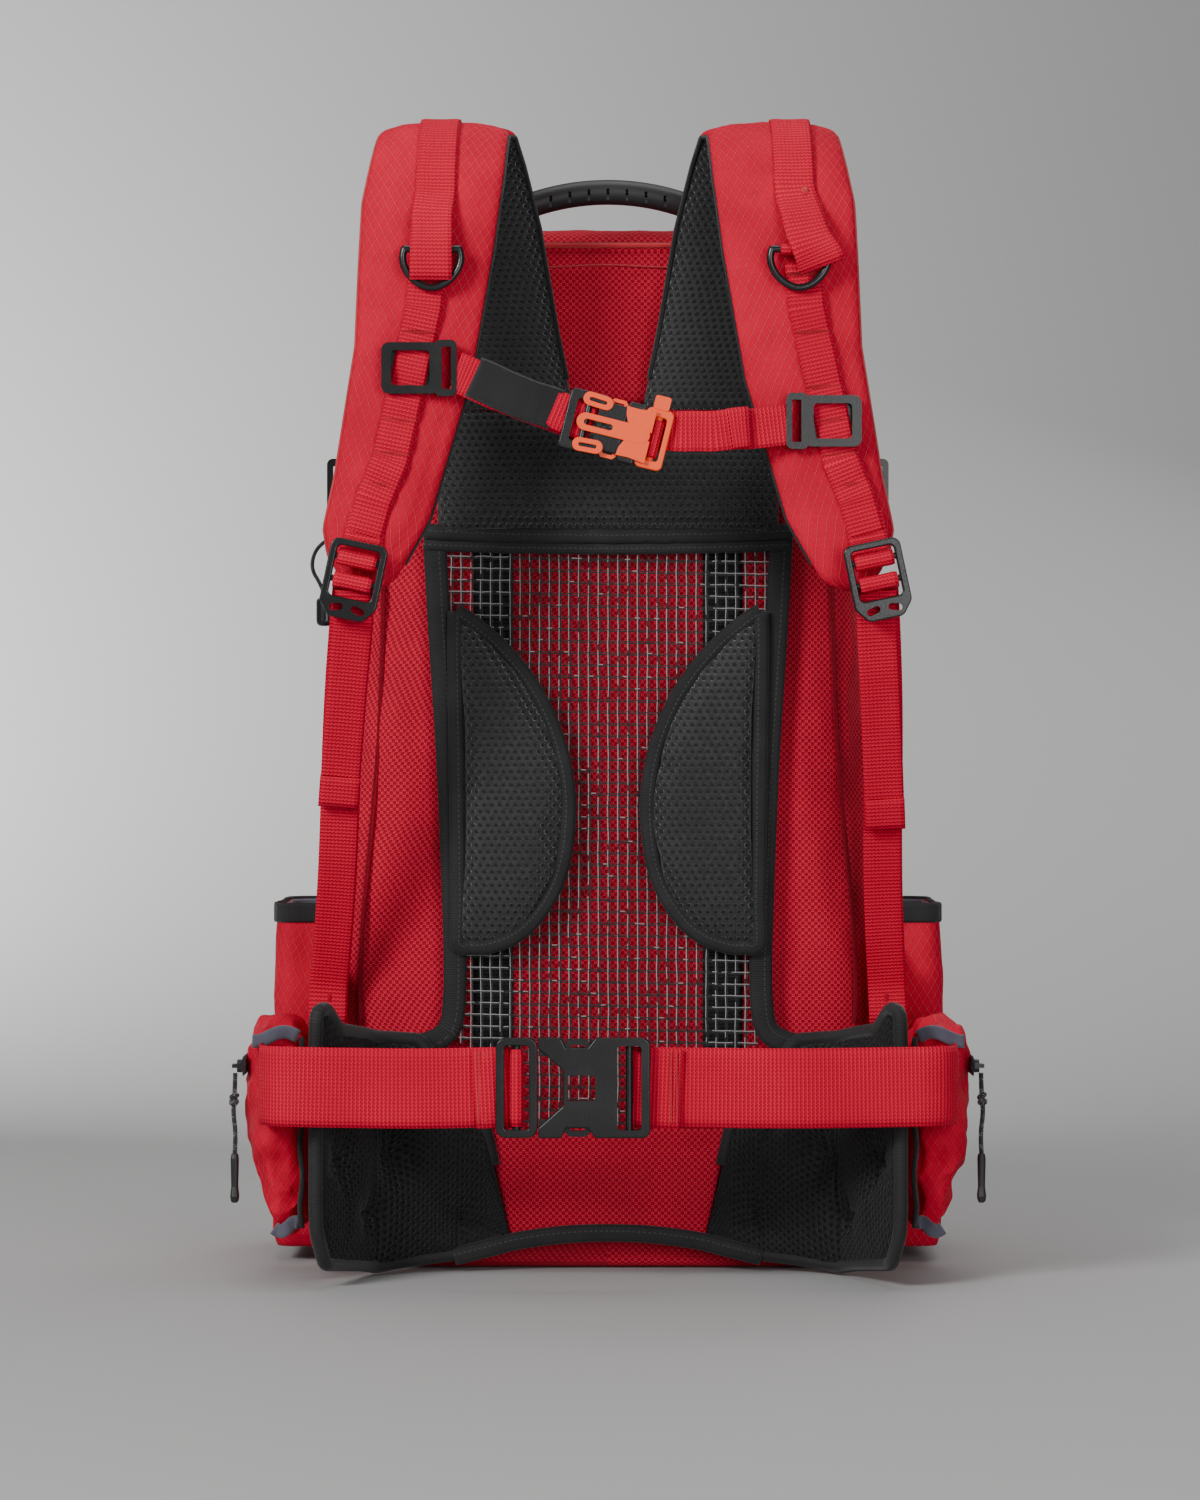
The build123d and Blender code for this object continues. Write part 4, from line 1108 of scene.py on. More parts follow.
def d_outline():
    """The right lumbar pad's outline: up round the bulge, then down the straight edge."""
    bulge = smooth_line([(0.0985, 0, 0.209), (0.078, 0, 0.2085), (0.052, 0, 0.2215),
                         (0.031, 0, 0.255), (0.0245, 0, 0.300), (0.030, 0, 0.340),
                         (0.046, 0, 0.378), (0.070, 0, 0.409), (0.094, 0, 0.429),
                         (0.100, 0, 0.4325)], 0.004)
    straight = [Vector((0.1005 - 0.0025 * k / 20, 0, 0.430 - (0.430 - 0.213) * k / 20))
                for k in range(1, 20)]
    return bulge + straight


def crowned(name, outline, centre, back_y, rise, mat, seed, edge_y=None, power=0.5):
    """Pad whose face swells from a thin sewn edge to its middle."""
    edge_y = back_y - 0.0035 if edge_y is None else edge_y
    rows = []
    centre = Vector(centre)
    for t in (0.05, 0.5, 1.0):
        rows.append([Vector((centre.x + (p.x - centre.x) * t, back_y,
                             centre.z + (p.z - centre.z) * t)) for p in outline])
    for k in range(1, 10):
        t = k / 9
        scale = 1 - t**1.25 * 0.97
        y = edge_y - rise * (1 - (1 - t) ** 2.4) ** power
        row = []
        for p in outline:
            q = Vector((centre.x + (p.x - centre.x) * scale, y,
                        centre.z + (p.z - centre.z) * scale))
            q.y += 0.0008 * fbm(q, 28, seed, 3) * min(1, t * 3)
            row.append(q)
        rows.append(row)
    return grid(name, rows, [mat])


def build_lumbar():
    for side, name in SIDES:
        outline = [Vector((side * p.x, 0, p.z)) for p in d_outline()]
        if side > 0:
            outline.reverse()
        centre = Vector((side * 0.072, 0, 0.312))
        pad = crowned(f"lumbar_pad_{name}", outline, centre, -0.0125, 0.0075, M["mesh"], 3.0 + side)
        swell(pad, 0.0045, 3.0, keep_back=-0.0122, voxel=0.0042)
        done(pad, "pack", "black_mesh", "lumbar_pads")
        inside = [centre + (p - centre) * 0.972 for p in outline]
        tape = [Vector((q.x, -0.0172, q.z)) for q in inside]
        top = max(range(len(tape)), key=lambda q: tape[q].z)
        tape = tape[top:] + tape[:top]
        tape = smooth_line(tape[::2] + [tape[0]], 0.004)
        edge_tape(f"lumbar_binding_{name}", tape, 0.0105, thick=0.0050, crown=0.0012)


def build_yoke():
    outline = []
    corners = [(-0.115, 0.478), (0.115, 0.478), (0.115, 0.566), (-0.115, 0.566)]
    for a, b in zip(corners, corners[1:] + corners[:1]):
        for k in range(24):
            t = k / 24
            outline.append(Vector((a[0] + (b[0] - a[0]) * t, 0, a[1] + (b[1] - a[1]) * t)))
    outline.reverse()
    pad = crowned("yoke_pad_cloth", outline, (0, 0, 0.522), -0.0085, 0.0125, M["mesh"], 8.0,
                  edge_y=-0.0130, power=0.6)
    swell(pad, 0.003, 2.5, keep_back=-0.0082, voxel=0.0045)
    done(pad, "pack", "black_mesh", "yoke_pad")
    for k, (z, y) in enumerate(((0.4815, -0.0165), (0.4735, -0.0135))):
        line = [(-0.120 + 0.240 * i / 60, y - 0.0006 * math.sin(i * 0.9),
                 z - 0.0028 * (1 - ((i - 30) / 30) ** 2) + 0.0006 * fbm((i * 0.03, 0, k), 20))
                 for i in range(61)]
        edge_tape(f"yoke_binding_{k}", line, 0.0100 if k == 0 else 0.0085)


def build_lower_panel():
    """Red panel between the hip fins, and the bound arch under it."""
    rows = []
    for k in range(29):
        t = k / 28
        z = 0.020 + 0.072 * t
        half = 0.063 + 0.016 * t
        row = []
        for j in range(41):
            x = -half + 2 * half * j / 40
            side = 1 - (abs(x) / half) ** 4
            row.append(Vector((x, -0.0135 - 0.0068 * side * (0.35
                    + 0.65 * math.sin(math.pi * min(1, t * 1.1 + 0.1)) ** 0.7)
                    - 0.0007 * fbm((x, z, 0), 24, 3.0), z)))
        back = [Vector((p.x, -0.0085, p.z)) for p in reversed(row)]
        rows.append(row + back)
    panel = grid("lower_panel", rows, [M["ballistic"]])
    done(panel, "pack", "red_cloth", "lumbar_panel")
    line = smooth_line([(-0.100, -0.0200, 0.0095), (-0.078, -0.0205, 0.0150),
                        (-0.055, -0.0205, 0.0205), (-0.02, -0.0205, 0.0245),
                        (0.02, -0.0205, 0.0245),
                        (0.055, -0.0205, 0.0205), (0.078, -0.0205, 0.0150),
                        (0.100, -0.0200, 0.0095)], 0.004)
    edge_tape("lower_arch", line, 0.0115, thick=0.0045)


# ---- shoulder straps ----------------------------------------------------------------------------
PAD_T = 0.0150
REAR_Y, FRONT_Y, ARCH_Z, REAR_Z, FRONT_Z = -0.0158, -0.118, 0.732, 0.560, 0.630
ARCH_Y = (REAR_Y + FRONT_Y) / 2
STRAP_FACE = FRONT_Y - PAD_T / 2
S_TOP, S_FRONT = 0.40, 0.66  # where the strap passes its top, and where its straight front begins
RIGHT = 0.009  # how far the right strap's webbing sits off the mirrored line
WEB, WEB_T = 0.025, 0.0016


def strap_side(s):
    """Middle line of the strap in side view: y, z and the outward direction.

    s is 0 at the rear foot and 1 at the front foot.
    """
    low_rear, low_front = 0.5600, 0.4385
    a1, b1 = REAR_Y - ARCH_Y, ARCH_Z - REAR_Z
    a2, b2 = ARCH_Y - FRONT_Y, ARCH_Z - FRONT_Z
    if s < S_TOP:
        a = math.asin((low_rear - REAR_Z) / b1) * (1 - s / S_TOP) + math.radians(90) * (s / S_TOP)
        y, z = ARCH_Y + a1 * math.cos(a), REAR_Z + b1 * math.sin(a)
        out = Vector((0, math.cos(a) / a1, math.sin(a) / b1)).normalized()
        return y, z, out
    if s < S_FRONT:
        a = math.radians(90) * (s - S_TOP) / (S_FRONT - S_TOP)
        y, z = ARCH_Y - a2 * math.sin(a), FRONT_Z + b2 * math.cos(a)
        out = Vector((0, -math.sin(a) / a2, math.cos(a) / b2)).normalized()
        return y, z, out
    t = (s - S_FRONT) / (1 - S_FRONT)
    return FRONT_Y, FRONT_Z + (low_front - FRONT_Z) * t, Vector((0, -1, 0))


FRONT_IN = [(0.438, 0.150), (0.4405, 0.1405), (0.446, 0.133), (0.483, 0.112), (0.571, 0.086),
            (0.652, 0.072), (0.700, 0.066), (0.742, 0.0625)]
FRONT_OUT = [(0.438, 0.1505), (0.4400, 0.1595), (0.4450, 0.1665), (0.452, 0.1715), (0.462, 0.1755),
             (0.478, 0.178), (0.510, 0.171), (0.592, 0.158), (0.683, 0.154), (0.728, 0.146),
             (0.742, 0.1435)]
REAR_IN = [(0.5665, 0.0235), (0.612, 0.033), (0.677, 0.044), (0.716, 0.054), (0.742, 0.0625)]
REAR_OUT = [(0.5665, 0.1045), (0.640, 0.1250), (0.700, 0.137), (0.742, 0.1435)]


def strap_edges(s, z):
    if s < S_TOP:
        return lerp(REAR_IN, z), lerp(REAR_OUT, z)
    return lerp(FRONT_IN, z), lerp(FRONT_OUT, z)


def build_shoulder(side):
    name = NAMES[side]
    rows = []
    count = 132
    top_n, low_n = 22, 14
    for i in range(count + 1):
        s = i / count
        y, z, out = strap_side(s)
        x0, x1 = strap_edges(s, z)
        wide = x1 - x0
        thick = PAD_T / 2 * min(1, wide / 0.04)
        row = []
        for k in range(top_n + 1):
            a = -1 + 2 * k / top_n
            a = math.sin(a * math.pi / 2)
            crown = max(0.0, 1 - abs(a) ** 3.2) ** 0.62
            u = (a + 1) / 2
            p = Vector((side * (x0 + wide * u), y, z))
            fold = 0.0011 * fbm((p.x * 1.4, p.y * 0.4, p.z * 0.7), 26, 11.0 + side,
                                3) + 0.0006 * fbm(p, 70, 3.0, 2)
            if 0.54 < z < 0.61 and s > 0.6:
                fold = min(fold, 0.0)
            seam = -0.0016 * math.exp(-(((1 - abs(a)) * wide / 2 - 0.0085) / 0.0016) ** 2)
            row.append(p + out * (crown * thick + (fold + seam) * crown))
        for k in range(1, low_n):
            a = 1 - 2 * k / low_n
            crown = max(0.0, 1 - abs(a) ** 3.0) ** 0.6
            u = (a + 1) / 2
            p = Vector((side * (x0 + wide * u), y, z))
            row.append(p - out * crown * (thick + 0.0007 * fbm(p, 30, 5.0)))
        rows.append(row)
    pad = grid(f"strap_pad_{name}", rows, [M["strap_red"], M["mesh_uv"]],
               index=lambda i, j: 0 if j < top_n else 1, flip=side > 0)
    done(pad, "pack", "red_cloth", f"shoulder_strap_{name}")
    for which, place in (("inner", 0.0), ("outer", 1.0)):
        line = []
        for i in range(4, count - 3):
            s = i / count
            y, z, out = strap_side(s)
            x0, x1 = strap_edges(s, z)
            line.append(Vector((side * (x0 + (x1 - x0) * place), y, z)) - out * 0.0014)
        cover = M["binding_round"] if which == "inner" else M["thread"]
        done(tube(f"strap_piping_{which}_{name}", line, 0.0014, cover, sides=8), "pack",
             "black_mesh")


TACKS = (0.636, 0.600, 0.566, 0.545, 0.524, 0.505, 0.492)
DAISY = [(0.640, 0.1125), (0.615, 0.115), (0.520, 0.136), (0.496, 0.146), (0.470, 0.1535),
         (0.455, 0.1565)]


def tack_hump(z):
    for low, high in zip(TACKS[1:], TACKS):
        if low < z < high:
            t = (z - low) / (high - low)
            return 0.0019 * min(1.0, (high - low) / 0.02) * math.sin(math.pi * t) ** 0.8
    return 0.0


def build_daisy(side):
    name = NAMES[side]
    shift = RIGHT if side > 0 else 0
    top, low, count = 0.642, 0.4735, 76
    line = []
    for k in range(count + 1):
        z = top + (low - top) * k / count
        line.append(Vector((side * lerp(DAISY, z) + shift, STRAP_FACE - 0.0016 - tack_hump(z), z)))
    across = [Vector((0, -1, 0)).cross(heading(line, k)) for k in range(len(line))]
    web(f"daisy_{name}", line, across, 0.0225, 0.0015, "pack", "daisy_webbings")
    verts, faces, uvs = [], [], []
    for z in TACKS[:-1]:
        x = side * lerp(DAISY, z) + shift
        for row in (-1, 1):
            base = len(verts)
            n = 26
            for j in range(n + 1):
                t = -1 + 2 * j / n
                dx = t * 0.0105
                zz = z + row * 0.00075 + (0.0006 if j % 2 else -0.0006)
                for dz, dy in ((-0.00035, 0), (0.00035, 0), (0, -0.0006)):
                    verts.append(Vector((x + dx, STRAP_FACE - 0.0026 + dy, zz + dz)))
            for j in range(n):
                for k in range(3):
                    q = (k + 1) % 3
                    faces.append([base + 3 * j + k, base + 3 * j + q, base + 3 * (j + 1) + q,
                                  base + 3 * (j + 1) + k])
                    uvs.append([(0, 0), (0.001, 0), (0.001, 0.001), (0, 0.001)])
    done(add_mesh(f"bar_tacks_{name}", verts, faces, uvs, [M["thread"]]), "pack", "red_webbing")


def build_lifter(side):
    """Load lifter: from the bag's top over the arch and round the ring's bar, to a free flap."""
    name = NAMES[side]
    shift = RIGHT if side > 0 else 0
    pts = [Vector((side * x + shift, y, z)) for x, y, z in (
        (0.106, 0.008, 0.6735), (0.106, 0.000, 0.6785), (0.106, -0.012, 0.6905),
        (0.1058, -0.030, 0.7115))]
    for k in range(20):
        s = 0.305 + (0.655 - 0.305) * k / 19
        y, z, out = strap_side(s)
        x = side * (0.1062 + 0.0030 * max(0, (s - 0.4) / 0.26)) + shift
        pts.append(Vector((x, y, z)) + out * (PAD_T / 2 + 0.0018))
    x = side * 0.1100 + shift
    bar = Vector((x, -0.134, 0.651))
    drift = 0.0145 if side > 0 else -0.0005
    low = 0.6395 if side > 0 else 0.6315
    pts = [p for p in pts if p.z > 0.681 or p.y > -0.06]
    for z, y, t in ((0.6740, -0.1290, 0.25), (0.6640, -0.1338, 0.45), (0.6550, -0.1379, 0.65),
                    ((0.655 + low) / 2, -0.1392, 0.84), (low, -0.1372, 1.0)):
        pts.append(Vector((x + drift * t**1.5, y, z)))
    line = smooth_line(pts, 0.004)
    twist, widths = [], []
    for p in line:
        t = max(0.0, min(1.0, (0.70 - p.z) / (0.70 - low))) if p.y < -0.06 else 0.0
        a = math.radians(13 if side > 0 else -2) * t
        twist.append(Vector((math.cos(a), 0, -math.sin(a))))
        widths.append(WEB + (0.0040 if side > 0 else 0.0014) * t)
    lifter = strap(f"lifter_{name}", line, twist, WEB, 0.0018, M["webbing"], crown=0.0005,
                   widths=widths)
    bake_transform(lifter)
    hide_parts("load_lifters")
    back_loop = [bar + Vector((0, -0.0031 * math.cos(a), -0.0031 * math.sin(a)))
                 for a in (math.radians(-60 + 20 * k) for k in range(13))]
    web(f"ring_loop_{name}", back_loop, (1, 0, 0), 0.0235, 0.0012, "pack")
    if side > 0:
        stud = min(line, key=lambda p: abs(p.z - 0.6880) + (1 if p.y > -0.06 else 0))
        dome = [stud + Vector((0.006, -0.0006 - 0.0005 * k, 0)) for k in range(5)]
        done(tube("lifter_stud", dome, 0.0024, M["thread"],
                  radii=[0.0024, 0.0024, 0.0021, 0.0015, 0.0005]), "pack", "red_webbing")
    paint(f"d_ring_{name}", M["plastic"])


# ---- ladder locks and the lower webbing ---------------------------------------------------------
LEAN = math.radians(12)
STEP = 0.014  # between the ladder lock's two bars


def lock_point(side, y, along):
    """A point on the ladder lock's middle line, given from its upper bar."""
    x, z = 0.156 - along * math.sin(LEAN), 0.457 + along * math.cos(LEAN)
    return Vector((side * x + (RIGHT if side > 0 else 0), -0.141 + y, z))


def build_lock(side):
    name = NAMES[side]
    wide = Vector((math.cos(LEAN), 0, side * math.sin(LEAN)))
    anchor = [(0.0155, 0.030), (0.0142, 0.018), (0.0118, 0.0085), (0.0072, 0.0048),
              (0.0006, 0.0042), (-0.0036, 0.0016), (-0.0042, -0.0016),
              (-0.0018, -0.0043), (0.0022, -0.0043), (0.0060, -0.0012), (0.0095, 0.0045),
              (0.0128, 0.0125)]
    line = smooth_line([lock_point(side, y, z) for y, z in anchor], 0.0022)
    web(f"anchor_web_{name}", line, wide, 0.0245, 0.0016, "pack", "anchor_loops", crown=0.0003)
    low = [(0.0052, -STEP - 0.0030), (0.0036, -STEP - 0.0012), (0.0008, -STEP + 0.0038),
           (-0.0030, -STEP + 0.0034), (-0.0043, -STEP - 0.0002),
           (-0.0030, -STEP - 0.0038), (0.0006, -STEP - 0.0046), (0.0040, -STEP - 0.0052)]
    loop = smooth_line([lock_point(side, y, z) for y, z in low], 0.0016)
    web(f"lock_web_{name}", loop, wide, 0.0240, 0.0015, f"strap_lock_{name}", f"lock_loop_{name}",
        crown=0.0004)
    paint(f"ladder_lock_{name}", M["plastic"])

    top = lock_point(side, 0.0052, -STEP)
    foot = Vector((side * 0.182, -0.0122, 0.185))
    run = []
    for k in range(9):
        t = k / 8
        p = top.lerp(foot, t)
        p.y -= 0.0022 * math.sin(math.pi * t) - 0.0004
        p.x += side * 0.0012 * math.sin(math.pi * 2 * t)
        run.append(p)
    run += [foot + Vector((side * 0.0006, 0.0012, -0.012)),
            foot + Vector((side * 0.0010, 0.0012, -0.025))]
    lower = strap(f"lower_web_{name}", smooth_line(run, 0.006), (1, 0, 0), WEB, WEB_T, M["webbing"],
                  crown=0.0004)
    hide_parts("lower_webbings")
    tail_pts = []
    ends = [0.02, 0.10, 0.25, 0.42, 0.545] if side < 0 else [0.02, 0.12, 0.28, 0.46, 0.60]
    for k, t in enumerate(ends):
        p = top.lerp(foot, t)
        p.y -= 0.0032 + (0.0010, 0.0026, 0.0030, 0.0026, 0.0036)[k]
        p.x += side * (0.0, -0.0006, 0.0004, 0.0012, 0.0016)[k] + (0.0012 if side < 0 else -0.001)
        tail_pts.append(p)
    tail = smooth_line(tail_pts, 0.004)
    for piece in (lower, strap(f"web_tail_{name}", tail, (1, 0, 0), 0.0252, 0.0018, M["webbing"],
                               crown=0.0005)):
        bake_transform(piece)
    hem = [p + Vector((0, -0.0019, 0)) for p in tail[-6:]]
    web(f"web_hem_{name}", hem, (1, 0, 0), 0.0256, 0.0020, "pack", crown=0.0004)
    wing = []
    for k in range(9):
        t = k / 8
        y = -0.0112 + 0.0440 * t
        z0, z1 = 0.172 - 0.004 * t, 0.197 + 0.026 * t
        bulge = 0.0010 * math.sin(math.pi * t)
        col = [Vector((side * (0.1822 + 0.0008 + bulge), y, z0 + (z1 - z0) * j / 8))
               for j in range(9)]
        back = [Vector((side * (0.1806 + bulge), p.y, p.z)) for p in reversed(col)]
        wing.append(col + back)
    done(grid(f"side_wing_{name}", wing, [M["ballistic_uv"]], flip=side < 0), "pack", "red_cloth",
         "webbing_wings")


# ---- sternum strap ------------------------------------------------------------------------------
RUN_Y = -0.1333
S_LEFT, S_RIGHT = Vector((-0.0892, RUN_Y, 0.5740)), Vector((-0.0144, RUN_Y, 0.5428))


def droop_line(a, b, sag, bulge, step=0.004, seed=0.0):
    """A line from a to b that sags a little and bows out."""
    count = max(3, int((b - a).length / step))
    line = []
    for k in range(count + 1):
        t = k / count
        w = math.sin(math.pi * t)
        line.append(a.lerp(b, t)
                    + Vector((0, -bulge * w, -sag * w + 0.0006 * fbm((t * 3, seed, 0), 1.5))))
    return line


def plate(name, loops, place, thick, mat):
    """Flat moulded piece with rounded edges, from closed outlines (holes too) in its own plane."""
    data = bpy.data.curves.new(name, "CURVE")
    data.dimensions = "2D"
    data.fill_mode = "BOTH"
    data.extrude = thick / 2 - 0.0004
    data.bevel_depth = 0.0004
    data.bevel_resolution = 2
    for loop in loops:
        spline = data.splines.new("POLY")
        spline.points.add(len(loop) - 1)
        for point, (u, v) in zip(spline.points, loop):
            point.co = (u, v, 0, 1)
        spline.use_cyclic_u = True
    temp = bpy.data.objects.new(name + "_outline", data)
    bpy.context.scene.collection.objects.link(temp)
    depsgraph = bpy.context.evaluated_depsgraph_get()
    mesh = bpy.data.meshes.new_from_object(temp.evaluated_get(depsgraph))
    bpy.data.objects.remove(temp)
    mesh.transform(place)
    mesh.materials.clear()
    mesh.materials.append(mat)
    obj = bpy.data.objects.new(name, mesh)
    bpy.context.scene.collection.objects.link(obj)
    return obj


def pill(cu, cv, length, width, lean=0.0):
    """Closed outline of a slot with round ends."""
    r, half = width / 2, (length - width) / 2
    pts = [(half + r * math.cos(a), r * math.sin(a))
           for a in (-math.pi / 2 + math.pi * k / 9 for k in range(10))]
    pts += [(-half + r * math.cos(a), r * math.sin(a))
            for a in (math.pi / 2 + math.pi * k / 9 for k in range(10))]
    c, s = math.cos(lean), math.sin(lean)
    return [(cu + u * c - v * s, cv + u * s + v * c) for u, v in pts]


def build_fork():
    """The orange half's open tongue, and the two oval press loops on the buckle's front."""
    tilt = math.radians(14)
    ahead, up = Vector((math.cos(tilt), 0, -math.sin(tilt))), Vector((math.sin(tilt), 0,
                                                                      math.cos(tilt)))
    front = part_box("sternum_female")[0].y
    place = Matrix.Identity(4)
    for k, axis in enumerate((ahead, up, Vector((0, -1, 0)))):
        place.col[k][:3] = axis
    place.col[3][:3] = Vector((0.005, front - 0.0011, 0.538))
    tongue = plate("sternum_tongue", [pill(-0.0020, 0, 0.0460, 0.0104),
                                      pill(-0.0115, 0.0, 0.0190, 0.0044)], place, 0.0019,
                                      M["orange"])
    done(tongue, "sternum_plug", "orange_plastic")
    for sign, which in ((1, "up"), (-1, "down")):
        ring = plate(f"sternum_press_{which}", [pill(-0.0150, sign * 0.0142, 0.0185, 0.0078,
                -sign * 0.06), pill(-0.0150, sign * 0.0142, 0.0120, 0.0030, -sign * 0.06)],
                     place, 0.0019, M["orange"])
        done(ring, f"sternum_prong_{which}", "orange_plastic")
        arm = [(0.0035, sign * 0.0152), (0.0110, sign * 0.0150), (0.0175, sign * 0.0158),
               (0.0215, sign * 0.0165), (0.0215, sign * 0.0030),
               (0.0100, sign * 0.0030), (0.0062, sign * 0.0062), (0.0042, sign * 0.0105)]
        if sign < 0:
            arm.reverse()
        done(plate(f"sternum_arm_{which}", [arm], place, 0.0017, M["orange"]), "sternum_plug",
             "orange_plastic")


def build_sternum():
    down = (S_RIGHT - S_LEFT).normalized()
    wide = Vector((-down.z, 0, down.x))
    line = droop_line(S_LEFT + Vector((-0.006, 0, 0.0006)), S_RIGHT + down * 0.0005, 0.0012, 0.0008)
    web("sternum_run_left", line, wide, WEB, WEB_T, "sternum_strap", "sternum_web_left",
        crown=0.0003)
    wrap = [S_RIGHT + down * (0.0036 * math.sin(a) + 0.0008)
            + Vector((0, -0.0029 + 0.0029 * math.cos(a), 0))
            for a in (math.pi * k / 10 for k in range(11))]
    back = [wrap[-1].lerp(S_LEFT + Vector((0, -0.0040, 0)), t)
            + Vector((0, -0.0008 * math.sin(math.pi * min(1, t / 0.9)), 0))
            for t in (0.05, 0.12, 0.2, 0.28)]
    over = smooth_line(wrap + back, 0.002)
    web("sternum_fold_left", over, wide, 0.0242, 0.0014, "sternum_strap", crown=0.0003)

    a, b = S_LEFT.lerp(S_RIGHT, 0.07), S_LEFT.lerp(S_RIGHT, 0.76)
    path = droop_line(a + Vector((0, -0.0018, 0)), b + Vector((0, -0.0062, 0)), 0.0012, 0.0026,
                      step=0.003, seed=3.0)
    done(strap("sternum_label_cloth", path, wide, 0.0262, 0.0010, M["label"], crown=0.0008),
         "sternum_strap", "black_mesh", "sternum_label")
    for k, edge in enumerate((1, -1)):
        hem = [p + wide * edge * 0.0118 + Vector((0, -0.0007, 0)) for p in path]
        sewn_line(f"label_edge_{k}", hem, 0.0004, "binding_round", "sternum_strap",
                  "black_mesh", sides=6)

    right = droop_line(Vector((0.0290, RUN_Y - 0.0010, 0.5385)), Vector((0.1130, RUN_Y, 0.5420)),
                       0.0024, 0.0012, seed=6.0)
    run = strap("sternum_run_right", right, (0, 0, 1), WEB, WEB_T, M["webbing"], crown=0.0003)
    tail = droop_line(Vector((0.0345, RUN_Y - 0.0034, 0.5378)),
                      Vector((0.0880, RUN_Y - 0.0042, 0.5402)), 0.0020, 0.0016, seed=9.0)
    hem = [p + Vector((0, -0.0016, 0)) for p in tail[-4:]]
    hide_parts("sternum_web_right")
    for piece in (run, strap("sternum_tail", tail, (0, 0, 1), 0.0252, 0.0016, M["webbing"],
                             crown=0.0005),
                  strap("sternum_tail_hem", hem, (0, 0, 1), 0.0255, 0.0018, M["webbing"],
                        crown=0.0004)):
        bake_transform(piece)
    centre = middle_of("sternum_web_loop")
    tilt = math.radians(-14)
    axis = Vector((-math.sin(tilt), 0, math.cos(tilt)))
    ahead = Vector((math.cos(tilt), 0, math.sin(tilt)))
    ring = [centre + ahead * 0.0033 * math.cos(a) + Vector((0, 0.0033 * math.sin(a), 0))
            for a in turn(20)]
    web("sternum_fold_right", ring, axis, 0.0235, 0.0013, "sternum_plug", "sternum_web_loop")
    build_fork()
    for node in ("sternum_sliders", "sternum_female"):
        paint(node, M["plastic"])
    for node in ("sternum_male", "sternum_prong_upper", "sternum_prong_lower"):
        paint(node, M["orange"])


# ---- hip belt -----------------------------------------------------------------------------------
BELT_Y, BELT_Z, BELT_WIDTH = -0.130, 0.129, 0.050


def belt_line(side, end):
    """The belt webbing's middle line: round the hip pocket, then along the front to its buckle."""
    pts = [Vector((side * x, y, BELT_Z)) for x, y in (
        (0.2190, -0.0870), (0.2190, -0.1000), (0.2188, -0.1120), (0.2150, -0.1195),
        (0.2085, -0.1265), (0.1980, -0.1300))]
    x0, n = side * 0.1980, 22
    for k in range(1, n + 1):
        t = k / n
        x = x0 + (end - x0) * t
        pts.append(Vector((x, BELT_Y + 0.0010 * math.sin(t * 9.0 + side) * math.sin(math.pi * t),
                           BELT_Z - 0.0010 * math.sin(math.pi * t))))
    return smooth_line(pts, 0.005)


def build_belt():
    for side, name, end in ((1, "right", 0.0135), (-1, "left", -0.0590)):
        body = "pack" if side > 0 else "belt_plug"
        run = strap(f"belt_run_{name}", belt_line(side, end), (0, 0, 1), BELT_WIDTH, 0.0021,
                    M["webbing"], crown=0.0005)
        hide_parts(f"belt_web_{name}")
        if side > 0:
            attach(run, "pack")
        else:
            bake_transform(run)
        stop = 0.0455 if side > 0 else -0.0835
        over = [Vector((x, BELT_Y - 0.0034 - 0.0014 * math.sin(math.pi * t), 0.1292 - 0.0012 * t))
                for t in (k / 30 for k in range(31)) for x in (end + (stop - end) * t,)]
        web(f"belt_fold_{name}", over, (0, 0, 1), BELT_WIDTH, 0.0020, body, crown=0.0006)
        for row in (0, 1):
            x = stop - side * (0.003 + 0.0035 * row)
            stitch = [Vector((x + 0.0003 * (j % 2), BELT_Y - 0.0054,
                              BELT_Z - 0.0225 + 0.045 * j / 40)) for j in range(41)]
            sewn_line(f"belt_stitch_{name}_{row}", stitch, 0.00042, "thread", body,
                      "red_webbing", sides=5)
    centre = middle_of("belt_web_loop")
    ring = [centre + Vector((0.0036 * math.cos(a), 0.0036 * math.sin(a), 0)) for a in turn(22)]
    web("belt_loop_left", ring, (0, 0, 1), 0.0480, 0.0016, "belt_plug", "belt_web_loop")
    for node in ("belt_female", "belt_male", "belt_prong_upper", "belt_prong_lower"):
        paint(node, M["plastic"])


FIN_LOW = [(0.064, 0.020), (0.100, 0.008), (0.150, 0.002), (0.180, 0.012), (0.193, 0.050)]
FIN_HIGH = [(0.064, 0.022), (0.080, 0.092), (0.122, 0.151), (0.150, 0.154), (0.172, 0.162),
            (0.184, 0.187), (0.193, 0.192)]


def fin_path(t):
    """Middle line of the fin in plan, with its direction towards the wearer."""
    a, b, c = Vector((0.0640, -0.0128)), Vector((0.150, -0.024)), Vector((0.1838, -0.1115))
    first, second = (b - a).normalized(), (c - b).normalized()
    cut = 0.0318
    p1, p2 = b - first * cut, b + second * cut
    l1, l3 = (p1 - a).length, (c - p2).length
    l2 = 0.0585
    s = t * (l1 + l2 + l3)
    if s < l1:
        p, d = a + first * s, first
    elif s < l1 + l2:
        u = (s - l1) / l2
        p = (p1 * (1 - u) ** 2) + (b * 2 * u * (1 - u)) + (p2 * u * u)
        d = ((b - p1) * (1 - u) + (p2 - b) * u).normalized()
    else:
        p, d = p2 + second * (s - l1 - l2), second
    return p, Vector((d.y, -d.x))


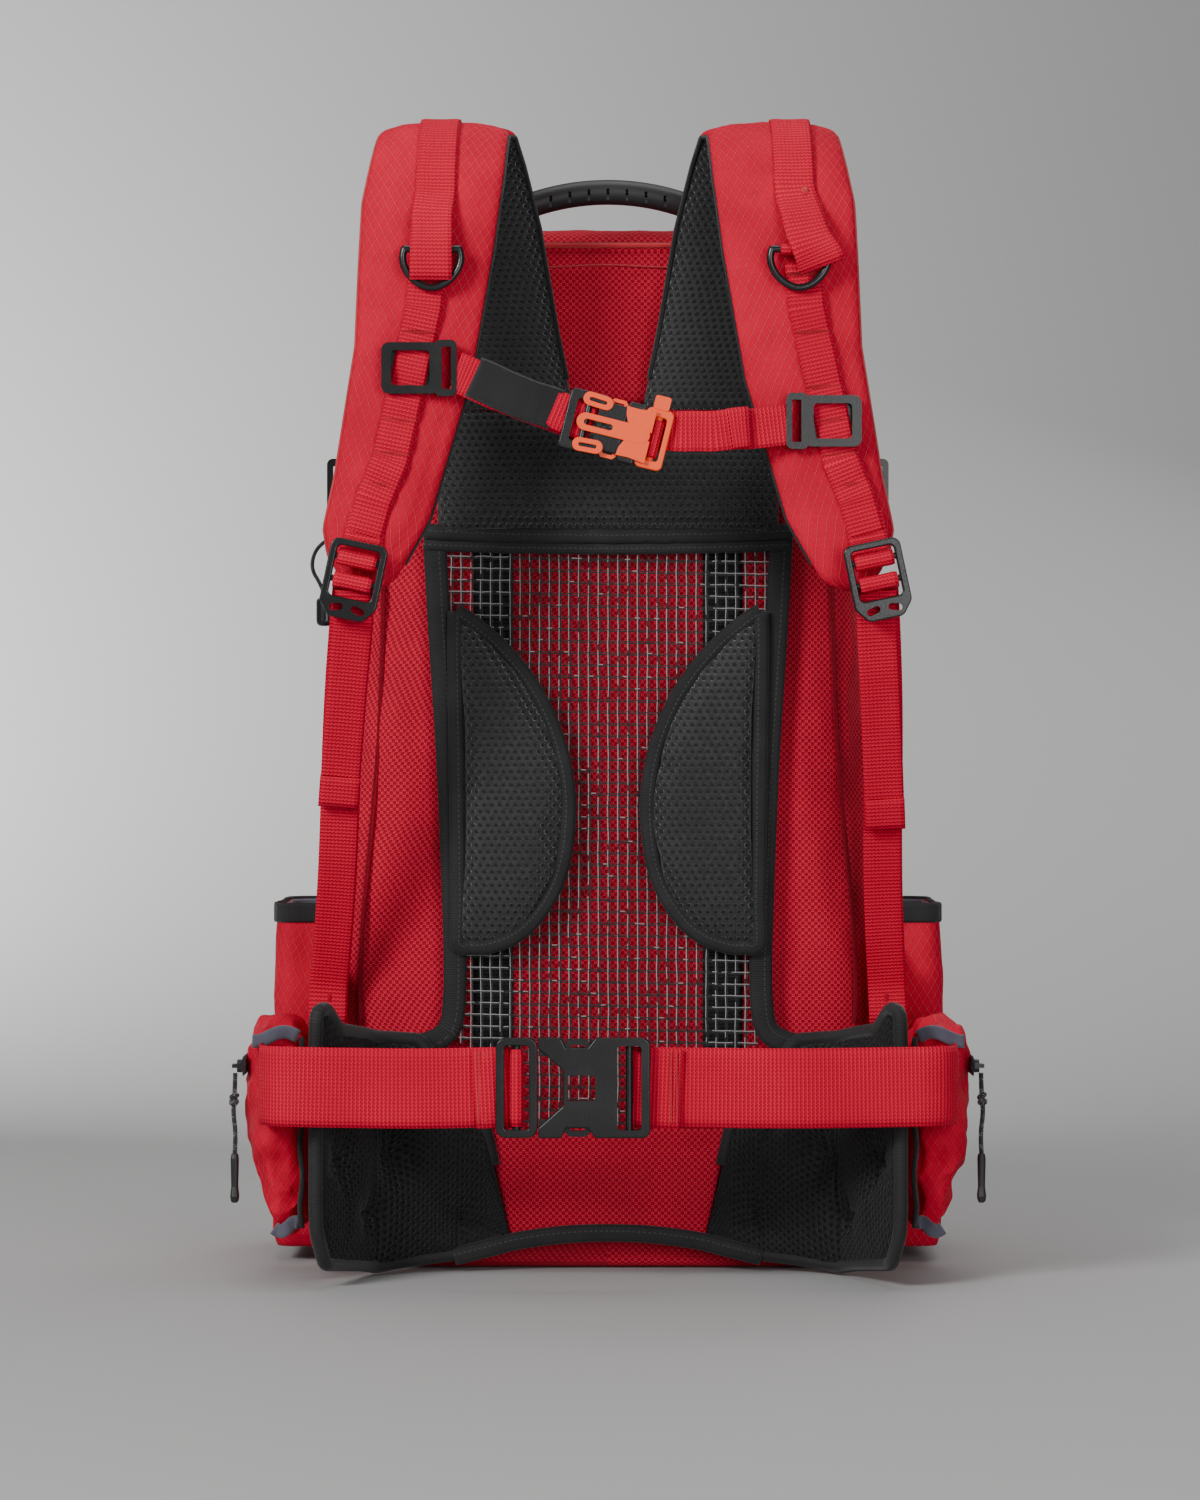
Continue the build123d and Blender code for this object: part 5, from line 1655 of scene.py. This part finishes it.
def build_fin(side):
    name = NAMES[side]
    rows, top_line, low_line = [], [], []
    count, inner, outer = 64, 30, 14
    tufts = [(0.20, 0.20), (0.30, 0.78), (0.44, 0.50), (0.62, 0.22), (0.66, 0.72), (0.85, 0.42)]
    for i in range(count + 1):
        t = i / count
        p, out = fin_path(t)
        x = abs(p.x)
        z0, z1 = lerp(FIN_LOW, x), lerp(FIN_HIGH, x)
        if t > 0.9:
            grow = (t - 0.9) / 0.1
            z0 += 0.010 * grow**2
            z1 -= 0.014 * grow**2
        ring = []
        half = 0.0068 * min(1.0, 0.45 + 2.4 * min(t + 0.02, 1.02 - t))
        for k in range(inner + 1):
            a = -1 + 2 * k / inner
            crown = max(0.0, 1 - abs(a) ** 3.4) ** 0.55
            u = (a + 1) / 2
            z = z0 + (z1 - z0) * u
            dip = 0.0
            for tt, uu in tufts:
                dx, dz = (t - tt) * 0.165, (u - uu) * (z1 - z0)
                d = math.hypot(dx, dz) / 0.027
                if d < 1:
                    pleat = 1 + 0.35 * math.sin(5 * math.atan2(dz, dx) + tt * 20)
                    dip += 0.0100 * pleat * (1 - d) ** 2
            dip += 0.0036 * math.exp(-(((t - 0.545) * 0.165) / 0.0024) ** 2)
            wave = 0.0021 * fbm((p.x * 1.2, p.y, z), 22, 13.0, 3)
            off = (half * 1.42 - dip + wave) * crown
            ring.append(Vector((side * (p.x + out.x * off), p.y + out.y * off, z)))
        for k in range(1, outer):
            a = 1 - 2 * k / outer
            crown = max(0.0, 1 - abs(a) ** 3.0) ** 0.6
            z = z0 + (z1 - z0) * (a + 1) / 2
            ring.append(Vector((side * (p.x - out.x * half * crown),
                                p.y - out.y * half * crown, z)))
        rows.append(ring)
        top_line.append(Vector((side * p.x, p.y, z1 - 0.0008))
                        + Vector((side * out.x, out.y, 0)) * 0.0008)
        low_line.append(Vector((side * p.x, p.y, z0 + 0.0030))
                        + Vector((side * out.x, out.y, 0)) * 0.0008)
    # the fin's mesh side takes the darker mesh copy, which is painted shade
    pad = grid(f"hip_fin_{name}_pad", rows, [M["mesh_fin_painted_shade"], M["ballistic_uv"]],
               index=lambda i, j: 0 if j <= inner else 1, flip=side < 0)
    done(pad, "pack", "black_mesh", "hip_fins")
    p, _ = fin_path(1.0)
    end = [Vector((side * p.x, p.y - 0.0006, v.z)) for v in rows[-1][: inner + 1 : 2]]
    path = smooth_line(low_line[2::2] + end[2:-2] + top_line[-1:2:-2], 0.004)
    sewn_line(f"hip_fin_{name}_binding", path, 0.0046, "binding", "pack", "black_mesh", sides=14)


def build_hip_pocket(side):
    """Crumpled nylon pocket on the outside of a hip fin."""
    name = NAMES[side]
    x0, x1, y0, y1, z0, z1 = 0.1940, 0.2285, -0.0900, 0.0200, 0.0270, 0.1660
    cx, cy, cz = (x0 + x1) / 2, (y0 + y1) / 2, (z0 + z1) / 2
    hx, hy, hz = (x1 - x0) / 2, (y1 - y0) / 2, (z1 - z0) / 2
    rows = []
    n, m = 40, 72
    for i in range(n + 1):
        b = -math.pi / 2 + math.pi * i / n
        cb, sb = math.cos(b), math.sin(b)
        kb = abs(cb) ** 0.28 * (1 if cb >= 0 else -1)
        kz = abs(sb) ** 0.42 * (1 if sb >= 0 else -1)
        row = []
        for j in range(m):
            a = 2 * math.pi * j / m
            ca, sa = math.cos(a), math.sin(a)
            ex = abs(ca) ** 0.42 * (1 if ca >= 0 else -1)
            ey = abs(sa) ** 0.32 * (1 if sa >= 0 else -1)
            p = Vector((cx + hx * ex * kb, cy + hy * ey * kb, cz + hz * kz))
            low = max(0.0, (0.100 - p.z) / 0.073)
            if p.x > x0 + 0.004:
                p.x -= 0.020 * low**1.3 * (p.x - x0) / (x1 - x0)
            p.y += 0.010 * low * (1 if p.y < cy else 0) * 0.6
            crease = 0.0062 * (abs(fbm((p.x * 1.6 + p.z * 0.5, p.y * 0.9, p.z * 0.8), 24,
                                       17.0 + side, 3)) - 0.32)
            crease += 0.0018 * fbm(p, 52, 2.0, 2)
            p += Vector((ex * kb, ey * kb, kz)).normalized() * crease if i not in (0,
                                                                                   n) else Vector()
            p.x = min(max(p.x, x0 - 0.0012), x1 + 0.0016)
            row.append(Vector((side * p.x, p.y, p.z)))
        rows.append(row)
    pocket = grid(f"hip_pocket_{name}_cloth", rows[1:-1], [M["ripstop_wrap"]], flip=side < 0)
    swell(pocket, 0.0028, 2.0, voxel=0.0034, crumple=0.0030)
    done(pocket, "pack", "red_cloth", "hip_pockets")
    for k, z in enumerate((0.1650, 0.0290)):
        reach, back = ((0.029, 0.0), (0.0155, 0.0045))[k]
        line = [Vector((side * (0.1965 + reach * t), back - 0.0905 + 0.0012 * math.sin(t * 9),
                        z - 0.0075 * (1 if k == 0 else -1) + 0.0030 * math.sin(t * 5 + k)))
                for t in (i / 12 for i in range(13))]
        done(strap(f"hip_lining_{name}_{k}", line, (0, 0, 1), 0.0085, 0.0020, M["lining"],
                   crown=0.0005), "pack", "black_mesh")
    seam = [Vector((side * (0.1945 + 0.0008 * math.sin(z * 160)), -0.0885, z))
            for z in (0.036 + 0.121 * k / 30 for k in range(31))]
    sewn_line(f"hip_seam_{name}", seam, 0.0018, "binding_round", "pack", "black_mesh")


# ---- zip pulls and small cords ------------------------------------------------------------------
def add_cord(name, points, diameter, mat):
    """A free cord: one open NURBS line with the given control points."""
    data = bpy.data.curves.new(name, "CURVE")
    data.dimensions = "3D"
    data.bevel_depth = 1.0
    data.bevel_resolution = 4
    data.resolution_u = 12
    data.use_fill_caps = True
    data.materials.append(mat)
    spline = data.splines.new("NURBS")
    spline.points.add(len(points) - 1)
    for point, place in zip(spline.points, points):
        point.co = (*place, 1)
        point.radius = diameter / 2
    spline.order_u = 3
    spline.use_endpoint_u = True
    obj = bpy.data.objects.new(name, data)
    bpy.context.scene.collection.objects.link(obj)
    return obj


def centreline(obj):
    """The points along a cord's middle line."""
    depth, obj.data.bevel_depth = obj.data.bevel_depth, 0.0
    caps, obj.data.use_fill_caps = obj.data.use_fill_caps, False
    mesh = bpy.data.meshes.new_from_object(obj.evaluated_get(bpy.context.evaluated_depsgraph_get()))
    points = [v.co.copy() for v in mesh.vertices]
    bpy.data.meshes.remove(mesh)
    obj.data.bevel_depth, obj.data.use_fill_caps = depth, caps
    return points


CORD_ROUTE = [(0, 0, -4.6), (0.2, 0.9, -16), (1.5, -0.5, -29.5), (-0.5, 0.6, -43.5),
              (0.3, 0.2, -56.0)]
BUNGEE_ROUTE = [(-158, 30, 470), (-169, 28.5, 478), (-183, 27, 480), (-193.5, 25.5, 472),
                (-196.5, 25, 459), (-189.5, 25.5, 448), (-187, 25.5, 440)]


def build_pull(side):
    name = NAMES[side]
    pivot = Vector((side * 0.23745, -0.076, 0.138))
    points = [pivot + Vector((side * x, side * y, z)) * MM for x, y, z in CORD_ROUTE]
    cord = add_cord(f"pull_cord_{name}", points, 0.003, M["cord"])
    done(cord, f"hip_pull_{name}", "cord", f"hip_cord_{name}")
    line = centreline(cord)
    marks = lengths(line)
    for k, place in enumerate((0.0145, 0.0185)):
        i = min(range(len(line)), key=lambda q: abs(marks[q] - place))
        centre = line[i]
        tangent = heading(line, i)
        side_v = tangent.orthogonal().normalized()
        up = tangent.cross(side_v)
        ring = [centre + (side_v * math.cos(a) + up * math.sin(a)) * 0.0019
                + tangent * 0.0011 * math.sin(a + k * 2.2) for a in turn(24)]
        knot = tube(f"pull_knot_{name}_{k}", ring, 0.0014, M["cord"], sides=8)
        done(knot, f"hip_pull_{name}", "cord")
    paint(f"hip_grip_{name}", M["rubber"])
    paint(f"hip_slider_{name}", M["metal"])


def build_bungee():
    points = [Vector(p) * MM for p in BUNGEE_ROUTE]
    cord = add_cord("bungee_cord", points, 0.0026, M["cord_black"])
    done(cord, "pack", "cord", "bungee")
    paint("bungee_toggle", M["plastic"])


# ---- haul handle --------------------------------------------------------------------------------
HANDLE_Y = 0.012


def build_handle():
    """Rubber grip on a webbing arc, its legs looped through two sewn feet."""
    paint("haul_grip", M["rubber"])
    arc = []
    for k in range(41):
        t = -1 + 2 * k / 40
        arc.append(Vector((0.0530 * t, HANDLE_Y, 0.697 + 0.009 * (1 - t * t))))
    leg = ((0.0520, 0.6974), (0.0565, 0.6972), (0.0602, 0.6945), (0.0612, 0.6890), (0.0608, 0.6840),
           (0.0606, 0.6815))
    core = strap("haul_core", arc, (0, 1, 0), 0.0120, 0.0028, M["black_web"])
    done(core, "haul_handle", "red_webbing", "haul_webbing")
    for side, name in SIDES:
        line = smooth_line([(side * x, HANDLE_Y, z) for x, z in leg], 0.0015)
        web(f"haul_leg_{name}", line, (0, 1, 0), 0.0135, 0.0026, "haul_handle", crown=0.0003)
        ring = [Vector((side * 0.0590, HANDLE_Y + 0.0050 * math.cos(a),
                        0.682 + 0.0050 * math.sin(a))) for a in turn(22)]
        web(f"haul_foot_{name}", ring, (1, 0, 0), 0.0040, 0.0016, "haul_handle")
        foot = [Vector((side * x, HANDLE_Y, z)) for x, z in ((0.0480, 0.6732), (0.0530, 0.6738),
                (0.0590, 0.6742), (0.0650, 0.6738), (0.0695, 0.6731))]
        web(f"handle_foot_{name}", smooth_line(foot, 0.002), (0, 1, 0), 0.0160, 0.0018, "pack",
            "handle_anchors", crown=0.0004)


# ---- seams on the bag and back ------------------------------------------------------------------
def build_seams():
    tree = tree_of("bag_shell")
    for side, name in SIDES:
        line = [hug(tree, side * 0.16, 0.150, 0.06 + 0.59 * j / 118, (side, 0, 0), 0.0002)
                for j in range(119)]
        sewn_line(f"side_seam_{name}", line, 0.0011, "thread", "pack", "red_cloth", sides=6)
        edge = []
        for j in range(71):
            z = 0.160 + 0.495 * j / 70
            half, back, _ = level_at(z)
            x = side * (half - 0.0190 + 0.0030 * math.sin(z * 14))
            edge.append(Vector((x, back + 0.0028 + 0.0006 * math.sin(z * 40), z)))
        sewn_line(f"corner_seam_{name}", edge, 0.0017, "ballistic_uv", "pack", "red_cloth")
    rim = []
    half, back, _ = level_at(0.6705)
    for j in range(81):
        x = -half + 0.030 + (2 * half - 0.060) * j / 80
        rim.append(Vector((x, back - 0.0006 + 0.00024 * math.sin(j * 0.4), 0.6700)))
    sewn_line("top_back_piping", rim, 0.0017, "thread", "pack", "red_cloth")
    back = []
    for i in range(24):
        z = 0.566 + 0.100 * i / 23
        row = []
        for j in range(61):
            x = -0.118 + 0.236 * j / 60
            puff = 0.0024 * (1 - (abs(x) / 0.118) ** 6) * math.sin(math.pi * min(1,
                    (i + 0.3) / 22)) ** 0.4
            row.append(Vector((x, level_at(z)[1] - 0.0006 - puff - 0.0006 * fbm((x, z, 0), 22, 5.0),
                               z)))
        rows_back = [Vector((p.x, 0.0045, p.z)) for p in reversed(row)]
        back.append(row + rows_back)
    done(grid("upper_back_panel", back, [M["ballistic"]]), "pack", "red_cloth")
    z = 0.6560
    line = [Vector((-0.112 + 0.224 * j / 80, level_at(z)[1] - 0.0034 - 0.0004 * (j % 2),
                    z + 0.0008 * math.sin(j * 0.2))) for j in range(81)]
    sewn_line("back_stitch_0", line, 0.00055, "thread", "pack", "red_cloth", sides=5)


# ---- all pieces ---------------------------------------------------------------------------------
build_bag()
build_lid()
build_zips()
build_front_pocket()
build_side_trim()
build_gear_loops()
build_net()
build_bindings()
build_lumbar()
build_yoke()
build_lower_panel()
build_belt()
build_sternum()
build_handle()
build_bungee()
build_seams()
for way in (1, -1):
    open_pocket(way)
    build_shoulder(way)
    build_daisy(way)
    build_lifter(way)
    build_lock(way)
    build_fin(way)
    build_hip_pocket(way)
    build_pull(way)
for bare, cover in (("frame_sheet", "sheet"), ("frame_stays", "alloy"), ("front_slider", "metal"),
                    ("lid_slider", "metal")):
    paint(bare, M[cover])
run_swell()

bpy.context.view_layer.update()
